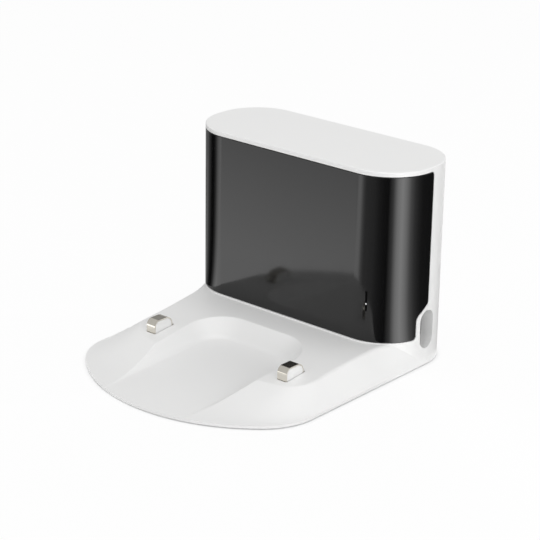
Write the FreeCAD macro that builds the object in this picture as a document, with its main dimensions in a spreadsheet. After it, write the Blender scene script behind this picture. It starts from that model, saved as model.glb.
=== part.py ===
import FreeCAD, Part
import math
import os
import re
import Sketcher
from FreeCAD import Rotation, Vector

# A charging dock for a robot vacuum: x to the right, the robot comes from -y, the wall is at +y, z is up.
# The origin is under the middle of the dock at floor level. Every length is in millimetres.

doc = FreeCAD.newDocument("charging_dock")
dims = doc.addObject("Spreadsheet::Sheet", "dims")
work = doc.addObject("Spreadsheet::Sheet", "work")

SIZES = {
    # the whole dock
    "dock_width": 130.0,
    "dock_depth": 151.0,
    "dock_height": 98.0,
    "foot_stand": 0.6,
    "wall": 2.4,
    "seam": 0.2,
    "slack": 0.3,
    # the tower and its window
    "tower_depth": 50.6,
    "tower_front_radius": 23.6,
    "tower_rear_radius": 22.7,
    "cap_height": 2.2,
    "cap_round": 0.6,
    "window_edge_round": 0.3,
    "window_bottom": 14.9,
    "window_wall": 2.0,
    "window_back": 23.8,
    "notch_front": 31.8,
    "notch_high": 31.2,
    "notch_low": 25.8,
    # the base
    "lip_height": 1.8,
    "apron_height": 2.6,
    "skirt_mid": 8.8,
    "skirt_top": 17.0,
    "front_radius": 81.4,
    "front_corner_radius": 29.9,
    "apron_front_radius": 110.0,
    "apron_front_setback": 13.4,
    "apron_corner_radius": 26.0,
    "mid_front_radius": 300.0,
    "mid_front_setback": 42.0,
    "mid_corner_radius": 15.0,
    "top_front_radius": 500.0,
    "top_front_setback": 84.0,
    "top_corner_radius": 6.0,
    "flank_rear_lean": 0.84,
    "flank_front_lean": 1.40,
    "flare_rear": 23.5,
    "flare_front": 55.5,
    "flank_ahead": 53.5,
    "incline_angle": 5.2,
    "incline_run": 8.0,
    "crease_round": 2.5,
    "rim_round": 0.9,
    # the caster recess
    "recess_floor": 1.55,
    "recess_tilt": 2.0,
    "recess_margin": 39.2,
    "recess_rear": 71.3,
    "recess_corner": 12.0,
    "recess_lean": 0.9,
    "recess_foot_round": 5.0,
    # the window notch and the lead outlets
    "notch_round": 2.0,
    "notch_bend": 4.5,
    "outlet_width": 9.8,
    "outlet_height": 19.0,
    "outlet_back": 24.4,
    "outlet_mid": 18.4,
    "tongue_thickness": 1.4,
    "tongue_length": 6.0,
    "tongue_height": 6.0,
    # the cable bay and its cover
    "bay_headroom": 42.0,
    "bay_floor": 5.2,
    "bay_wall": 2.4,
    "bay_depth": 30.5,
    "bay_margin": 6.8,
    "cover_margin": 23.5,
    "cover_low": 8.0,
    "cover_drop": 2.0,
    "cover_corner": 5.0,
    "cover_edge_round": 0.4,
    "cover_thickness": 2.0,
    "ledge": 2.5,
    "scoop_radius": 8.0,
    # the underside
    "room_front": 120.5,
    "plate_thickness": 1.5,
    "foot_radius": 5.5,
    "foot_recess": 0.8,
    "foot_ahead": 55.0,
    "foot_rear_margin": 20.0,
    "foot_rear_back": 16.0,
    "post_radius": 3.2,
    "post_height": 12.0,
    "screw_radius": 1.4,
    "screw_length": 6.5,
    "screw_head_radius": 2.8,
    "screw_head_height": 1.6,
    "screw_front_margin": 15.0,
    "screw_ahead": 81.5,
    "screw_rear_margin": 25.0,
    # the charging contacts
    "contact_margin": 24.0,
    "contact_ahead": 56.8,
    "contact_width": 5.4,
    "contact_length": 12.0,
    "contact_top": 15.8,
    "contact_roof": 7.0,
    "contact_pad_half": 6.5,
    "contact_pad_length": 22.0,
    "contact_corner": 0.8,
    "slot_tail": 0.8,
    "flange_thickness": 0.8,
    "flange_reach": 1.1,
    "band_thickness": 0.6,
    "band_front_round": 3.0,
    "band_rear_round": 4.2,
    "plunger_wall": 0.8,
    "tray_wall": 1.2,
    "tray_floor": 0.8,
    "strip_thickness": 0.3,
    "strip_width": 3.4,
    "strip_tail": 12.5,
    "coil_radius": 1.5,
    "coil_wire_radius": 0.25,
    "coil_turns": 6.0,
    "lead_radius": 0.9,
    "lead_bend": 4.0,
    "lead_turn": 4.0,
    "lead_side": 14.0,
    "lead_ahead": 6.6,
    # the power supply
    "standoff": 3.0,
    "board_thickness": 1.6,
    "board_margin": 15.0,
    "board_ahead": 9.0,
    "board_back": 5.5,
    "board_screw_inset": 5.0,
    "board_screw_back": 10.0,
    "transformer_side": 8.0,
    "transformer_inset": 7.0,
    "transformer_width": 26.0,
    "transformer_length": 22.0,
    "transformer_height": 22.0,
    "bulk_radius": 8.0,
    "bulk_side": 21.0,
    "bulk_inset": 16.0,
    "bulk_height": 26.0,
    "output_radius": 5.0,
    "output_inset": 13.5,
    "output_height": 18.0,
    "can_round": 0.8,
    "choke_radius": 4.6,
    "choke_round": 1.9,
    "choke_inset": 13.0,
    "fuse_radius": 2.6,
    "fuse_length": 18.0,
    "fuse_inset": 12.0,
    "rectifier_side": 10.0,
    "rectifier_width": 15.0,
    "rectifier_depth": 4.0,
    "rectifier_height": 12.0,
    "sink_side": 25.0,
    "sink_thickness": 2.0,
    "sink_fold": 6.0,
    "sink_height": 20.0,
    "header_half": 18.0,
    "header_depth": 5.0,
    "header_height": 6.0,
    "inlet_side": -28.0,
    "inlet_back": 15.5,
    "inlet_width": 19.0,
    "inlet_depth": 12.0,
    "inlet_drop": 6.0,
    "pin_pitch": 8.6,
    "pin_radius": 1.2,
    "pin_tail": 1.8,
    "socket_radius": 4.0,
    "socket_depth": 8.0,
    # the beacon
    "beacon_standoff": 5.4,
    "beacon_mid": 37.0,
    "beacon_height": 22.0,
    "beacon_margin": 14.0,
    "beacon_screw_inset": 15.0,
    "emitter_radius": 2.5,
    "emitter_length": 5.0,
    "emitter_spread": 22.0,
    "indicator_margin": 16.8,
    "indicator_low": 30.4,
    "indicator_high": 40.0,
    "indicator_spot": 3.6,
    "guide_width": 0.8,
    "led_size": 2.0,
    "link_half": 5.0,
    "link_thickness": 1.2,
}

for row, alias in enumerate(SIZES, start=1):
    dims.set(f"A{row}", alias.replace("_", " "))
    dims.set(f"B{row}", str(SIZES[alias]))
    dims.setAlias(f"B{row}", alias)
doc.recompute()

FUNCTIONS = ("tan", "sin", "cos", "sqrt", "min", "max")


def expression(text):
    """The text with the sheet's name put before each size name."""
    def tag(match):
        word = match.group(0)
        return word if word in FUNCTIONS else "dims." + word
    return re.sub(r"[a-z][a-z_]+", tag, text)


def number(text):
    """The value of a size expression, worked out by the sheet."""
    work.set("A1", "=" + expression(text))
    work.recompute()
    return float(work.get("A1"))


def form(name, shape):
    """A document object holding a shape made from the sheet's sizes."""
    item = doc.addObject("Part::Feature", name)
    item.Shape = shape
    return item


REAR = "dock_depth / 2"
HALF = "dock_width / 2"
TOWER_FRONT = f"{REAR} - tower_depth"


def slanted_corner(inset, side_rear, side_front, reach, front_radius, corner_radius):
    """The points where a section's side, corner arc and front arc touch, on the right-hand side."""
    rear = Vector(number(HALF) - side_rear, number(f"{REAR} - flare_front"), 0)
    fore = Vector(number(HALF) - side_front, number(f"flank_ahead - {REAR}"), 0)
    along = (fore - rear).normalize()
    inward = Vector(along.y, -along.x, 0)
    rear = rear + inward * inset
    radius = max(corner_radius - inset, 1.0)
    middle = Vector(0, front_radius - reach, 0)
    big = front_radius - inset
    start = rear + inward * radius - middle
    half_b = start.dot(along)
    spare = start.dot(start) - (big - radius) ** 2
    centre = start + middle + along * (math.sqrt(half_b ** 2 - spare) - half_b)
    side_end = centre - inward * radius
    out = (centre - middle).normalize()
    front_end = centre + out * radius
    elbow = centre + (out - inward).normalize() * radius
    return rear, along, side_end, elbow, front_end, middle.y - big


def skirt_section(inset, height, side_rear, side_front, reach, front_radius, corner_radius):
    """One level outline of the base: flared rear, leaning sides, round corners and bowed front."""
    rear, along, side_end, elbow, front_end, tip = slanted_corner(
        inset, side_rear, side_front, reach, front_radius, corner_radius)
    root = Vector(number(HALF) - inset, number(f"{REAR} - flare_rear"), 0)
    pull = (root.y - rear.y) / 3
    flip = lambda point: Vector(-point.x, point.y, 0)
    flare = [root, root - Vector(0, pull, 0), rear - along * pull, rear]
    right = Part.BezierCurve()
    right.setPoles(flare)
    left = Part.BezierCurve()
    left.setPoles([flip(point) for point in reversed(flare)])
    edges = [
        right.toShape(),
        Part.makeLine(rear, side_end),
        Part.Arc(side_end, elbow, front_end).toShape(),
        Part.Arc(front_end, Vector(0, tip, 0), flip(front_end)).toShape(),
        Part.Arc(flip(front_end), flip(elbow), flip(side_end)).toShape(),
        Part.makeLine(flip(side_end), flip(rear)),
        left.toShape(),
        Part.makeLine(flip(root), root),
    ]
    wire = Part.Wire(edges)
    wire.translate(Vector(0, 0, height))
    return wire


def skirt(inset):
    """The base in front of the tower, lofted from the lip to the arms; an inset gives its inside."""
    lip = number("lip_height")
    reach = number(REAR)
    levels = []
    for height, radius, setback, corner in (
        ("lip_height", "front_radius", "0", "front_corner_radius"),
        ("apron_height", "apron_front_radius", "apron_front_setback", "apron_corner_radius"),
        ("skirt_mid", "mid_front_radius", "mid_front_setback", "mid_corner_radius"),
        ("skirt_top", "top_front_radius", "top_front_setback", "top_corner_radius"),
    ):
        rise = number(height) - lip
        levels.append(skirt_section(
            inset,
            number(height) - inset,
            rise * number("flank_rear_lean"),
            rise * number("flank_front_lean"),
            reach - number(setback),
            number(radius),
            number(corner),
        ))
    return Part.makeLoft(levels, True, False)


def foot_outline(inset):
    """The outline of the base where it meets the floor, front part only, as a flat face."""
    wire = skirt_section(
        inset, 0, 0, 0, number(REAR), number("front_radius"), number("front_corner_radius"))
    return Part.Face(wire)


def rounded_block(half_width, front, rear, front_radius, rear_radius, low, high):
    """An upright block with its own corner radius at the front and at the rear."""
    block = Part.makeBox(2 * half_width, rear - front, high - low, Vector(-half_width, front, low))
    for place, radius in ((front, front_radius), (rear, rear_radius)):
        if radius <= 0:
            continue
        uprights = [
            edge for edge in block.Edges
            if abs(edge.BoundBox.YMin - place) < 1e-6
            and abs(edge.BoundBox.YMax - place) < 1e-6
            and edge.BoundBox.ZLength > 1e-6
        ]
        block = block.makeFillet(radius, uprights)
    return block


def tower_block(inset, low, high):
    """The tower's plan pulled in by the inset, between two heights."""
    front = number(TOWER_FRONT) + inset
    rear = number(REAR) - inset
    limit = (rear - front) / 2 - 0.2
    front_radius = min(number("tower_front_radius") - inset, limit)
    rear_radius = min(number("tower_rear_radius") - inset, limit)
    return rounded_block(number(HALF) - inset, front, rear, front_radius, rear_radius, low, high)


def above_incline(drop):
    """Everything above the base's inclined top, lowered by the drop."""
    top = number("window_bottom") - drop
    start = number(f"{TOWER_FRONT} + incline_run")
    ahead = number("dock_depth")
    fall = ahead * math.tan(math.radians(number("incline_angle")))
    wide = number("dock_width")
    side = [
        Vector(-wide, wide, top),
        Vector(-wide, start, top),
        Vector(-wide, start - ahead, top - fall),
        Vector(-wide, start - ahead, top + wide),
        Vector(-wide, wide, top + wide),
    ]
    return Part.Face(Part.makePolygon(side + side[:1])).extrude(Vector(2 * wide, 0, 0))


def recess_wire(half_width, rear, corner, height):
    """The outline of the caster recess at one height, open towards the front edge of the dock."""
    front = -number("dock_depth")
    turn = corner * (1 - math.sqrt(0.5))
    right = Vector(half_width, rear - corner, height)
    flip = lambda point: Vector(-point.x, point.y, point.z)
    bend = Vector(half_width - turn, rear - turn, height)
    back = Vector(half_width - corner, rear, height)
    mouth = Vector(half_width, front, height)
    return Part.Wire([
        Part.makeLine(mouth, right),
        Part.Arc(right, bend, back).toShape(),
        Part.makeLine(back, flip(back)),
        Part.Arc(flip(back), flip(bend), flip(right)).toShape(),
        Part.makeLine(flip(right), flip(mouth)),
        Part.makeLine(flip(mouth), mouth),
    ])


def recess_tool(grow):
    """The space of the caster recess: walls leaning outwards, a round foot, a floor rising to the rear."""
    low = number("recess_floor") - grow
    high = number("skirt_top") + number("wall")
    spread = (high - low) * number("recess_lean")
    width = number(f"{HALF} - recess_margin") + grow
    rear = number(f"{REAR} - recess_rear") + grow
    corner = number("recess_corner") + grow
    tool = Part.makeLoft([
        recess_wire(width, rear, corner, low),
        recess_wire(width + spread, rear + spread, corner + spread, high),
    ], True, True)
    foot = [
        edge for edge in tool.Edges
        if edge.BoundBox.ZMax < low + 1e-4 and edge.BoundBox.YMax > -number(REAR)
    ]
    tool = tool.makeFillet(number("recess_foot_round") + grow, foot)
    pivot = Vector(0, -number(REAR), number("recess_floor"))
    return tool.rotate(pivot, Vector(1, 0, 0), number("recess_tilt"))


def base_form(inset):
    """The solid base without its tower and its recess, or with an inset the room inside it."""
    low = number("foot_stand")
    lip = number("lip_height") - inset
    rear_front = number(f"{REAR} - flare_rear")
    body = skirt(inset)
    if lip > low + 0.01:
        foot = foot_outline(inset).extrude(Vector(0, 0, lip - low))
        body = body.fuse(foot.translated(Vector(0, 0, low)))
    rear = rounded_block(
        number(HALF) - inset, rear_front, number(REAR) - inset, 0,
        number("tower_rear_radius") - inset, min(low, lip), number("window_bottom"))
    body = body.fuse(rear)
    return body.cut(above_incline(inset))


def base_room_form(inset):
    """The room inside the base, kept clear of the caster recess."""
    return base_form(inset).cut(recess_tool(inset))


def is_inclined(face):
    """True for the sloping top of the base."""
    if face.Surface.TypeId != "Part::GeomPlane":
        return False
    normal = face.normalAt(0, 0)
    steep = math.cos(math.radians(number("incline_angle")))
    return abs(normal.x) < 1e-3 and abs(abs(normal.z) - steep) < 1e-4


def is_upright(face):
    """True for a wall that stands straight up, such as the tower's."""
    spot = face.Surface.parameter(face.CenterOfMass)
    return abs(face.normalAt(*spot).z) < 1e-3


def is_lofted(face):
    return face.Surface.TypeId == "Part::GeomBSplineSurface"


def arm_edges(solid):
    """The edges between the sloping top and the lofted flanks and ramps."""
    chosen = []
    for edge in solid.Edges:
        faces = solid.ancestorsOfType(edge, Part.Face)
        if any(is_inclined(face) for face in faces) and any(is_lofted(face) for face in faces):
            chosen.append(edge)
    return chosen


def recess_edges(solid):
    """The rim of the caster recess and the ridges that run down from it to the front."""
    chosen = []
    for edge in solid.Edges:
        faces = solid.ancestorsOfType(edge, Part.Face)
        above = [face for face in faces if is_inclined(face) or is_lofted(face)]
        beside = [face for face in faces if face not in above and not is_upright(face)]
        place = edge.BoundBox
        inner = max(abs(place.XMin), abs(place.XMax)) < number(f"{HALF} - contact_margin")
        raised = place.ZMax > number("recess_floor") + 0.2 and place.ZMin > number("foot_stand") + 0.2
        if len(above) == 1 and len(beside) == 1 and inner and raised:
            chosen.append(edge)
    return chosen


def eased(solid, edges, radius):
    """The solid with the edges rounded at the radius, or at the nearest one that the corners allow."""
    for share in (1.0, 1.1, 0.9, 1.25, 0.75, 0.5):
        try:
            result = solid.makeFillet(radius * share, edges)
        except Part.OCCError:
            continue
        if result.isValid() and len(result.Solids) == 1:
            return result.Solids[0]
    return solid


def soft_shell():
    """The outside of base and tower in one, with the creases of the base rounded."""
    tower = tower_block(0, number("foot_stand"), number("dock_height"))
    solid = base_form(0).fuse(tower).removeSplitter().Solids[0]
    solid = eased(solid, arm_edges(solid), number("crease_round"))
    solid = solid.cut(recess_tool(0)).Solids[0]
    return eased(solid, recess_edges(solid), number("rim_round"))


def box(name, low, high):
    """A box between two corners, each coordinate bound to the sheet."""
    item = doc.addObject("Part::Box", name)
    for side, axis, start, end in zip(("Length", "Width", "Height"), "xyz", low, high):
        item.setExpression(side, expression(f"({end}) - ({start})"))
        item.setExpression(f"Placement.Base.{axis}", expression(start))
    return item


TURNS = {
    "z": Rotation(),
    "y": Rotation(Vector(1, 0, 0), -90),
    "x": Rotation(Vector(0, 1, 0), 90),
}


def placed(item, start, axis="z"):
    """Turn an item to an axis and bind its position to the sheet."""
    item.Placement.Rotation = TURNS[axis]
    for letter, place in zip("xyz", start):
        item.setExpression(f"Placement.Base.{letter}", expression(place))
    return item


def rod(name, radius, start, length, axis="z"):
    """A round rod from a start point along an axis, bound to the sheet."""
    item = doc.addObject("Part::Cylinder", name)
    item.setExpression("Radius", expression(radius))
    item.setExpression("Height", expression(length))
    return placed(item, start, axis)


def taper(name, low_radius, high_radius, start, length, axis="z"):
    """A round taper from a start point along an axis, bound to the sheet."""
    item = doc.addObject("Part::Cone", name)
    item.setExpression("Radius1", expression(low_radius))
    item.setExpression("Radius2", expression(high_radius))
    item.setExpression("Height", expression(length))
    return placed(item, start, axis)


def fuse(name, items):
    item = doc.addObject("Part::MultiFuse", name)
    item.Shapes = items
    item.Refine = True
    doc.recompute()
    return item


def common(name, items):
    item = doc.addObject("Part::MultiCommon", name)
    item.Shapes = items
    doc.recompute()
    return item


def group(name, items):
    item = doc.addObject("Part::Compound", name)
    item.Links = items
    doc.recompute()
    return item


def cut(name, base, tools):
    """The base with every tool taken away."""
    item = doc.addObject("Part::Cut", name)
    item.Base = base
    item.Tool = tools[0] if len(tools) == 1 else group(name + "_tools", tools)
    item.Refine = True
    doc.recompute()
    return item


def mirrored(name, source):
    """The left-hand twin of a right-hand piece."""
    item = doc.addObject("Part::Mirroring", name)
    item.Source = source
    item.Normal = Vector(1, 0, 0)
    doc.recompute()
    return item


def rounded(name, base, radius, pick):
    """The base with a fillet on every edge that the pick function names."""
    doc.recompute()
    item = doc.addObject("Part::Fillet", name)
    item.Base = base
    chosen = [index for index, edge in enumerate(base.Shape.Edges, start=1) if pick(edge)]
    item.Edges = [(index, radius, radius) for index in chosen]
    doc.recompute()
    return item


def runs_along(edge, axis):
    """True for a straight edge parallel to one axis."""
    if edge.Curve.TypeId != "Part::GeomLine":
        return False
    return abs(getattr(edge.Curve.Direction, axis)) > 0.999


def centre_of(edge):
    return edge.BoundBox.Center


# Sketched plates: a body with one outline sketch, one pad and one sketch of round holes.
def plane_of(body, role):
    return [item for item in body.Origin.OriginFeatures if item.Role == role][0]


def sketch_on(body, name, role, offset):
    sketch = body.newObject("Sketcher::SketchObject", name)
    sketch.AttachmentSupport = [(plane_of(body, role), "")]
    sketch.MapMode = "FlatFace"
    sketch.setExpression("AttachmentOffset.Base.z", expression(offset))
    return sketch


def bind_point(sketch, index, end, place):
    """Hold one point of a sketch at a place given by two size expressions."""
    for kind, value in zip(("DistanceX", "DistanceY"), place):
        row = sketch.addConstraint(Sketcher.Constraint(kind, -1, 1, index, end, number(value)))
        sketch.setExpression(f"Constraints[{row}]", expression(value))


def draw_polygon(sketch, corners):
    """A closed outline whose corners are bound to the sheet."""
    points = [Vector(number(across), number(up), 0) for across, up in corners]
    lines = [Part.LineSegment(start, end) for start, end in zip(points, points[1:] + points[:1])]
    sketch.addGeometry(lines, False)
    count = len(corners)
    for index in range(count):
        sketch.addConstraint(Sketcher.Constraint("Coincident", index, 2, (index + 1) % count, 1))
    for index, corner in enumerate(corners):
        bind_point(sketch, index, 1, corner)


def draw_circles(sketch, places, radius):
    """Equal circles whose centres and radius are bound to the sheet."""
    for index, (across, up) in enumerate(places):
        spot = Vector(number(across), number(up), 0)
        sketch.addGeometry(Part.Circle(spot, Vector(0, 0, 1), number(radius)), False)
        bind_point(sketch, index, 3, (across, up))
        row = sketch.addConstraint(Sketcher.Constraint("Radius", index, number(radius)))
        sketch.setExpression(f"Constraints[{row}]", expression(radius))


def sketched_plate(name, role, offset, corners, thickness):
    """A body padded from a polygon on one of its own planes."""
    body = doc.addObject("PartDesign::Body", name)
    sketch = sketch_on(body, name + "_outline", role, offset)
    draw_polygon(sketch, corners)
    pad = body.newObject("PartDesign::Pad", name + "_pad")
    pad.Profile = sketch
    pad.setExpression("Length", expression(thickness))
    sketch.Visibility = False
    doc.recompute()
    return body


def drilled(body, name, role, offset, places, radius):
    """Round holes through a sketched plate, all of one radius."""
    sketch = sketch_on(body, name, role, offset)
    draw_circles(sketch, places, radius)
    pocket = body.newObject("PartDesign::Pocket", name + "_pocket")
    pocket.Profile = sketch
    pocket.Type = "ThroughAll"
    pocket.Reversed = True
    doc.recompute()
    return body


def softened(body, name, radius, pick):
    """A fillet feature on the picked edges of a body's tip."""
    tip = body.Tip
    feature = body.newObject("PartDesign::Fillet", name)
    chosen = [f"Edge{index}" for index, edge in enumerate(tip.Shape.Edges, start=1) if pick(edge)]
    feature.Base = (tip, chosen)
    feature.setExpression("Radius", expression(radius))
    doc.recompute()
    return body


def rectangle(left, right, low, high):
    return [(left, low), (right, low), (right, high), (left, high)]


# The window's side view: full height at the front, with a notch round the lead outlet at the rear.
def window_profile(gap):
    front = number(TOWER_FRONT) - number("wall")
    edge = number(f"{REAR} - window_back") - gap
    notch = number(f"{REAR} - notch_front") - gap
    bottom = number("window_bottom") + gap
    top = number("dock_height - cap_height") - gap
    wide = number("dock_width")
    corners = [
        (front, bottom, 0),
        (notch, bottom, number("notch_round")),
        (notch, number("notch_low") + gap, number("notch_bend")),
        (edge, number("notch_high") + gap, number("notch_round")),
        (edge, top, number("notch_round")),
        (front, top, 0),
    ]
    points = [Vector(-wide, along, up) for along, up, radius in corners]
    prism = Part.Face(Part.makePolygon(points + points[:1])).extrude(Vector(2 * wide, 0, 0))
    for along, up, radius in corners:
        if radius <= 0:
            continue
        edges = [
            item for item in prism.Edges
            if item.BoundBox.XLength > wide
            and abs(item.BoundBox.YMin - along) < 1e-4
            and abs(item.BoundBox.ZMin - up) < 1e-4
        ]
        prism = prism.makeFillet(radius, edges)
    return prism


PLATE_TOP = "foot_stand + plate_thickness"
BAY_ROOF = "dock_height - bay_headroom"
ROOF_TOP = f"{BAY_ROOF} + bay_wall"
BAY_FRONT = f"{REAR} - bay_depth"
BAY_FACE = f"{BAY_FRONT} - bay_wall"
BAY_HALF = f"{HALF} - bay_margin"
WINDOW_EDGE = f"{REAR} - window_back"
ROOM_TOP = "dock_height - cap_height"
BOARD_LOW = f"{ROOF_TOP} + standoff"
BOARD_TOP = f"{BOARD_LOW} + board_thickness"
BOARD_HALF = f"{HALF} - board_margin"
BOARD_FRONT = f"{BAY_FACE} - board_ahead"
BOARD_REAR = f"{REAR} - board_back"
BEACON_BACK = f"{BAY_FACE} - beacon_standoff"
BEACON_FACE = f"{BEACON_BACK} - board_thickness"
BEACON_HALF = f"{HALF} - beacon_margin"
COVER_HALF = f"{HALF} - cover_margin"
COVER_HIGH = f"{BAY_ROOF} - cover_drop"
CONTACT_X = f"{HALF} - contact_margin"
CONTACT_Y = f"contact_ahead - {REAR}"
CONTACT_LEFT = f"{CONTACT_X} - contact_width / 2"
CONTACT_RIGHT = f"{CONTACT_X} + contact_width / 2"
CONTACT_FRONT = f"{CONTACT_Y} - contact_length / 2"
CONTACT_REAR = f"{CONTACT_Y} + contact_length / 2"
FLANGE_TOP = "contact_roof - seam / 4"
FLANGE_LOW = f"{FLANGE_TOP} - flange_thickness"
TRAY_FLOOR = f"{PLATE_TOP} + tray_floor"
STRIP_TOP = f"{TRAY_FLOOR} + strip_thickness"
BAND_INSIDE = "contact_top - band_thickness"
INDICATOR_X = f"{HALF} - indicator_margin"


def twins(items):
    """The left-hand twins of several right-hand pieces or tools."""
    return [mirrored(item.Name + "_twin", item) for item in items]


# The main moulding: a hollow shell, then the bay, pads and posts inside it, then the openings.
shell_solid = form("shell_solid", soft_shell())
cap_edge = rounded("cap_edge", shell_solid, number("cap_round"), lambda edge: (
    edge.BoundBox.ZMin > number("dock_height") - 1e-4))
room_limit = box("room_limit", ("-dock_width", f"{REAR} - room_front", "-wall"),
                 ("dock_width", "dock_depth", "dock_height"))
base_room = common("base_room", [form("base_inner", base_room_form(number("wall"))), room_limit])
tower_room = form("tower_room", tower_block(number("wall"), 0, number(ROOM_TOP)))
aperture = form("aperture", window_profile(0))
shell = cut("shell", cap_edge, [base_room, tower_room, aperture])

inside_rear = form("inside_rear", tower_block(number("wall / 2"), 0, number("dock_height")))
bay_rear_block = box("bay_rear_block", (f"-{HALF}", f"{WINDOW_EDGE} + seam", "bay_floor - bay_wall"),
                     (HALF, f"{REAR} - wall / 2", ROOF_TOP))
bay_rear = common("bay_rear", [bay_rear_block, inside_rear])
bay_fore = box("bay_fore", (f"-({BAY_HALF}) - bay_wall", BAY_FACE, "bay_floor - bay_wall"),
               (f"{BAY_HALF} + bay_wall", f"{WINDOW_EDGE} + wall", ROOF_TOP))
sleeve_block = box("sleeve_block",
                   (BAY_HALF, f"{REAR} - outlet_back - outlet_width / 2 - bay_wall", "bay_floor"),
                   (f"{HALF} - wall / 2", f"{WINDOW_EDGE} + wall",
                    "outlet_mid + outlet_height / 2 + bay_wall"))
sleeve = cut("sleeve", sleeve_block, [form("sleeve_clear", window_profile(-number("seam")))])
rim = box("cover_rim",
          (f"-({COVER_HALF}) - bay_wall", f"{REAR} - wall - bay_wall", "cover_low - bay_wall"),
          (f"{COVER_HALF} + bay_wall", f"{REAR} - wall / 2", f"{COVER_HIGH} + bay_wall"))
pad_block = box("contact_pad_block",
                (f"{CONTACT_X} - contact_pad_half", f"{CONTACT_Y} - contact_pad_length / 2",
                 "contact_roof"),
                (f"{CONTACT_X} + contact_pad_half", f"{CONTACT_Y} + contact_pad_length / 2",
                 "skirt_top"))
contact_pad = common("contact_pad", [
    pad_block, form("pad_limit", base_room_form(number("wall / 2")))])

SCREW_SPOTS = [
    (f"{HALF} - screw_front_margin", f"screw_ahead - {REAR}"),
    (f"{HALF} - screw_rear_margin", f"{BAY_FACE} - post_radius / 2"),
]
BOARD_SPOTS = [
    (f"{BOARD_HALF} - board_screw_inset", f"{BAY_FRONT} + post_radius"),
    (f"{BOARD_HALF} - board_screw_inset", f"{REAR} - board_screw_back"),
]
BEACON_SPOTS = [
    (f"{BEACON_HALF} - beacon_screw_inset", "beacon_mid - beacon_height / 4"),
    (f"{BEACON_HALF} - beacon_screw_inset", "beacon_mid + beacon_height / 4"),
]
posts = []
for index, (side, back) in enumerate(SCREW_SPOTS):
    post = rod(f"plate_post_rod_{index}", "post_radius", (side, back, f"{PLATE_TOP} + seam"),
               "post_height")
    limit = form(f"plate_post_limit_{index}", base_room_form(number("wall / 2")))
    posts.append(common(f"plate_post_{index}", [post, limit]))
for index, (side, back) in enumerate(BOARD_SPOTS):
    posts.append(rod(f"board_post_{index}", "post_radius", (side, back, f"{ROOF_TOP} - bay_wall / 2"),
                     "standoff + bay_wall / 2"))
for index, (side, up) in enumerate(BEACON_SPOTS):
    posts.append(rod(f"beacon_post_{index}", "post_radius", (side, BEACON_BACK, up),
                     "beacon_standoff + bay_wall / 2", "y"))
right_adds = [sleeve, contact_pad] + posts
filled = fuse("filled", [shell, bay_rear, bay_fore, rim] + right_adds + twins(right_adds))

bay_room_block = box("bay_room_block", (f"-{HALF}", f"{WINDOW_EDGE} + wall + bay_wall", "bay_floor"),
                     (HALF, "dock_depth", BAY_ROOF))
bay_room = common("bay_room", [
    bay_room_block, form("bay_limit", tower_block(number("wall"), 0, number("dock_height")))])
bay_room_fore = box("bay_room_fore", (f"-({BAY_HALF})", BAY_FRONT, "bay_floor"),
                    (BAY_HALF, f"{REAR} - wall - 2 * bay_wall", BAY_ROOF))


def outlet(name):
    """The obround lead outlet through the right-hand end wall."""
    straight = "(outlet_height - outlet_width) / 2"
    middle = f"{REAR} - outlet_back"
    start = f"{BAY_HALF} - wall"
    reach = "bay_margin + 2 * wall"
    radius = "outlet_width / 2"
    return fuse(name, [
        rod(name + "_low", radius, (start, middle, f"outlet_mid - {straight}"), reach, "x"),
        rod(name + "_high", radius, (start, middle, f"outlet_mid + {straight}"), reach, "x"),
        box(name + "_mid", (start, f"{middle} - {radius}", f"outlet_mid - {straight}"),
            (f"{start} + {reach}", f"{middle} + {radius}", f"outlet_mid + {straight}")),
    ])


cover_seat_block = box("cover_seat_block",
                       (f"-({COVER_HALF})", f"{REAR} - cover_thickness - seam", "cover_low"),
                       (COVER_HALF, "dock_depth", COVER_HIGH))
cover_seat = rounded("cover_seat", cover_seat_block, number("cover_corner"),
                     lambda edge: runs_along(edge, "y"))
cover_mouth_block = box("cover_mouth_block",
                        (f"-({COVER_HALF}) + ledge", f"{REAR} - wall - 2 * bay_wall",
                         "cover_low + ledge"),
                        (f"{COVER_HALF} - ledge", "dock_depth", f"{COVER_HIGH} - ledge"))
cover_mouth = rounded("cover_mouth", cover_mouth_block, number("cover_corner - ledge / 2"),
                      lambda edge: runs_along(edge, "y"))
finger_scoop = rod("finger_scoop", "scoop_radius", ("0", f"{REAR} - cover_thickness / 2", COVER_HIGH),
                   "dock_depth", "y")
slot_block = box("slot_block",
                 (f"{CONTACT_LEFT} - slack", f"{CONTACT_FRONT} - slack", "contact_roof - wall"),
                 (f"{CONTACT_RIGHT} + slack", f"{CONTACT_REAR} + slack + slot_tail", "skirt_top"))
slot_right = rounded("slot_right", slot_block, number("contact_corner"),
                     lambda edge: runs_along(edge, "z"))
TRAY_HALF = "contact_width / 2 + flange_reach + slack"
TRAY_LONG = "contact_length / 2 + flange_reach + slack"
tray_seat_right = box("tray_seat_right",
                      (f"{CONTACT_X} - ({TRAY_HALF}) - tray_wall - seam",
                       f"{CONTACT_Y} - ({TRAY_LONG}) - tray_wall - seam", PLATE_TOP),
                      (f"{CONTACT_X} + {TRAY_HALF} + tray_wall + seam",
                       f"{CONTACT_Y} + {TRAY_LONG} + tray_wall + seam", "contact_roof"))
INLET_Y = f"{REAR} - inlet_back"
INLET_LOW = f"{BAY_ROOF} - inlet_drop"
inlet_hole = box("inlet_hole",
                 ("inlet_side - inlet_width / 2 - seam", f"{INLET_Y} - inlet_depth / 2 - seam",
                  f"{BAY_ROOF} - wall"),
                 ("inlet_side + inlet_width / 2 + seam", f"{INLET_Y} + inlet_depth / 2 + seam",
                  f"{ROOF_TOP} + wall"))


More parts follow.
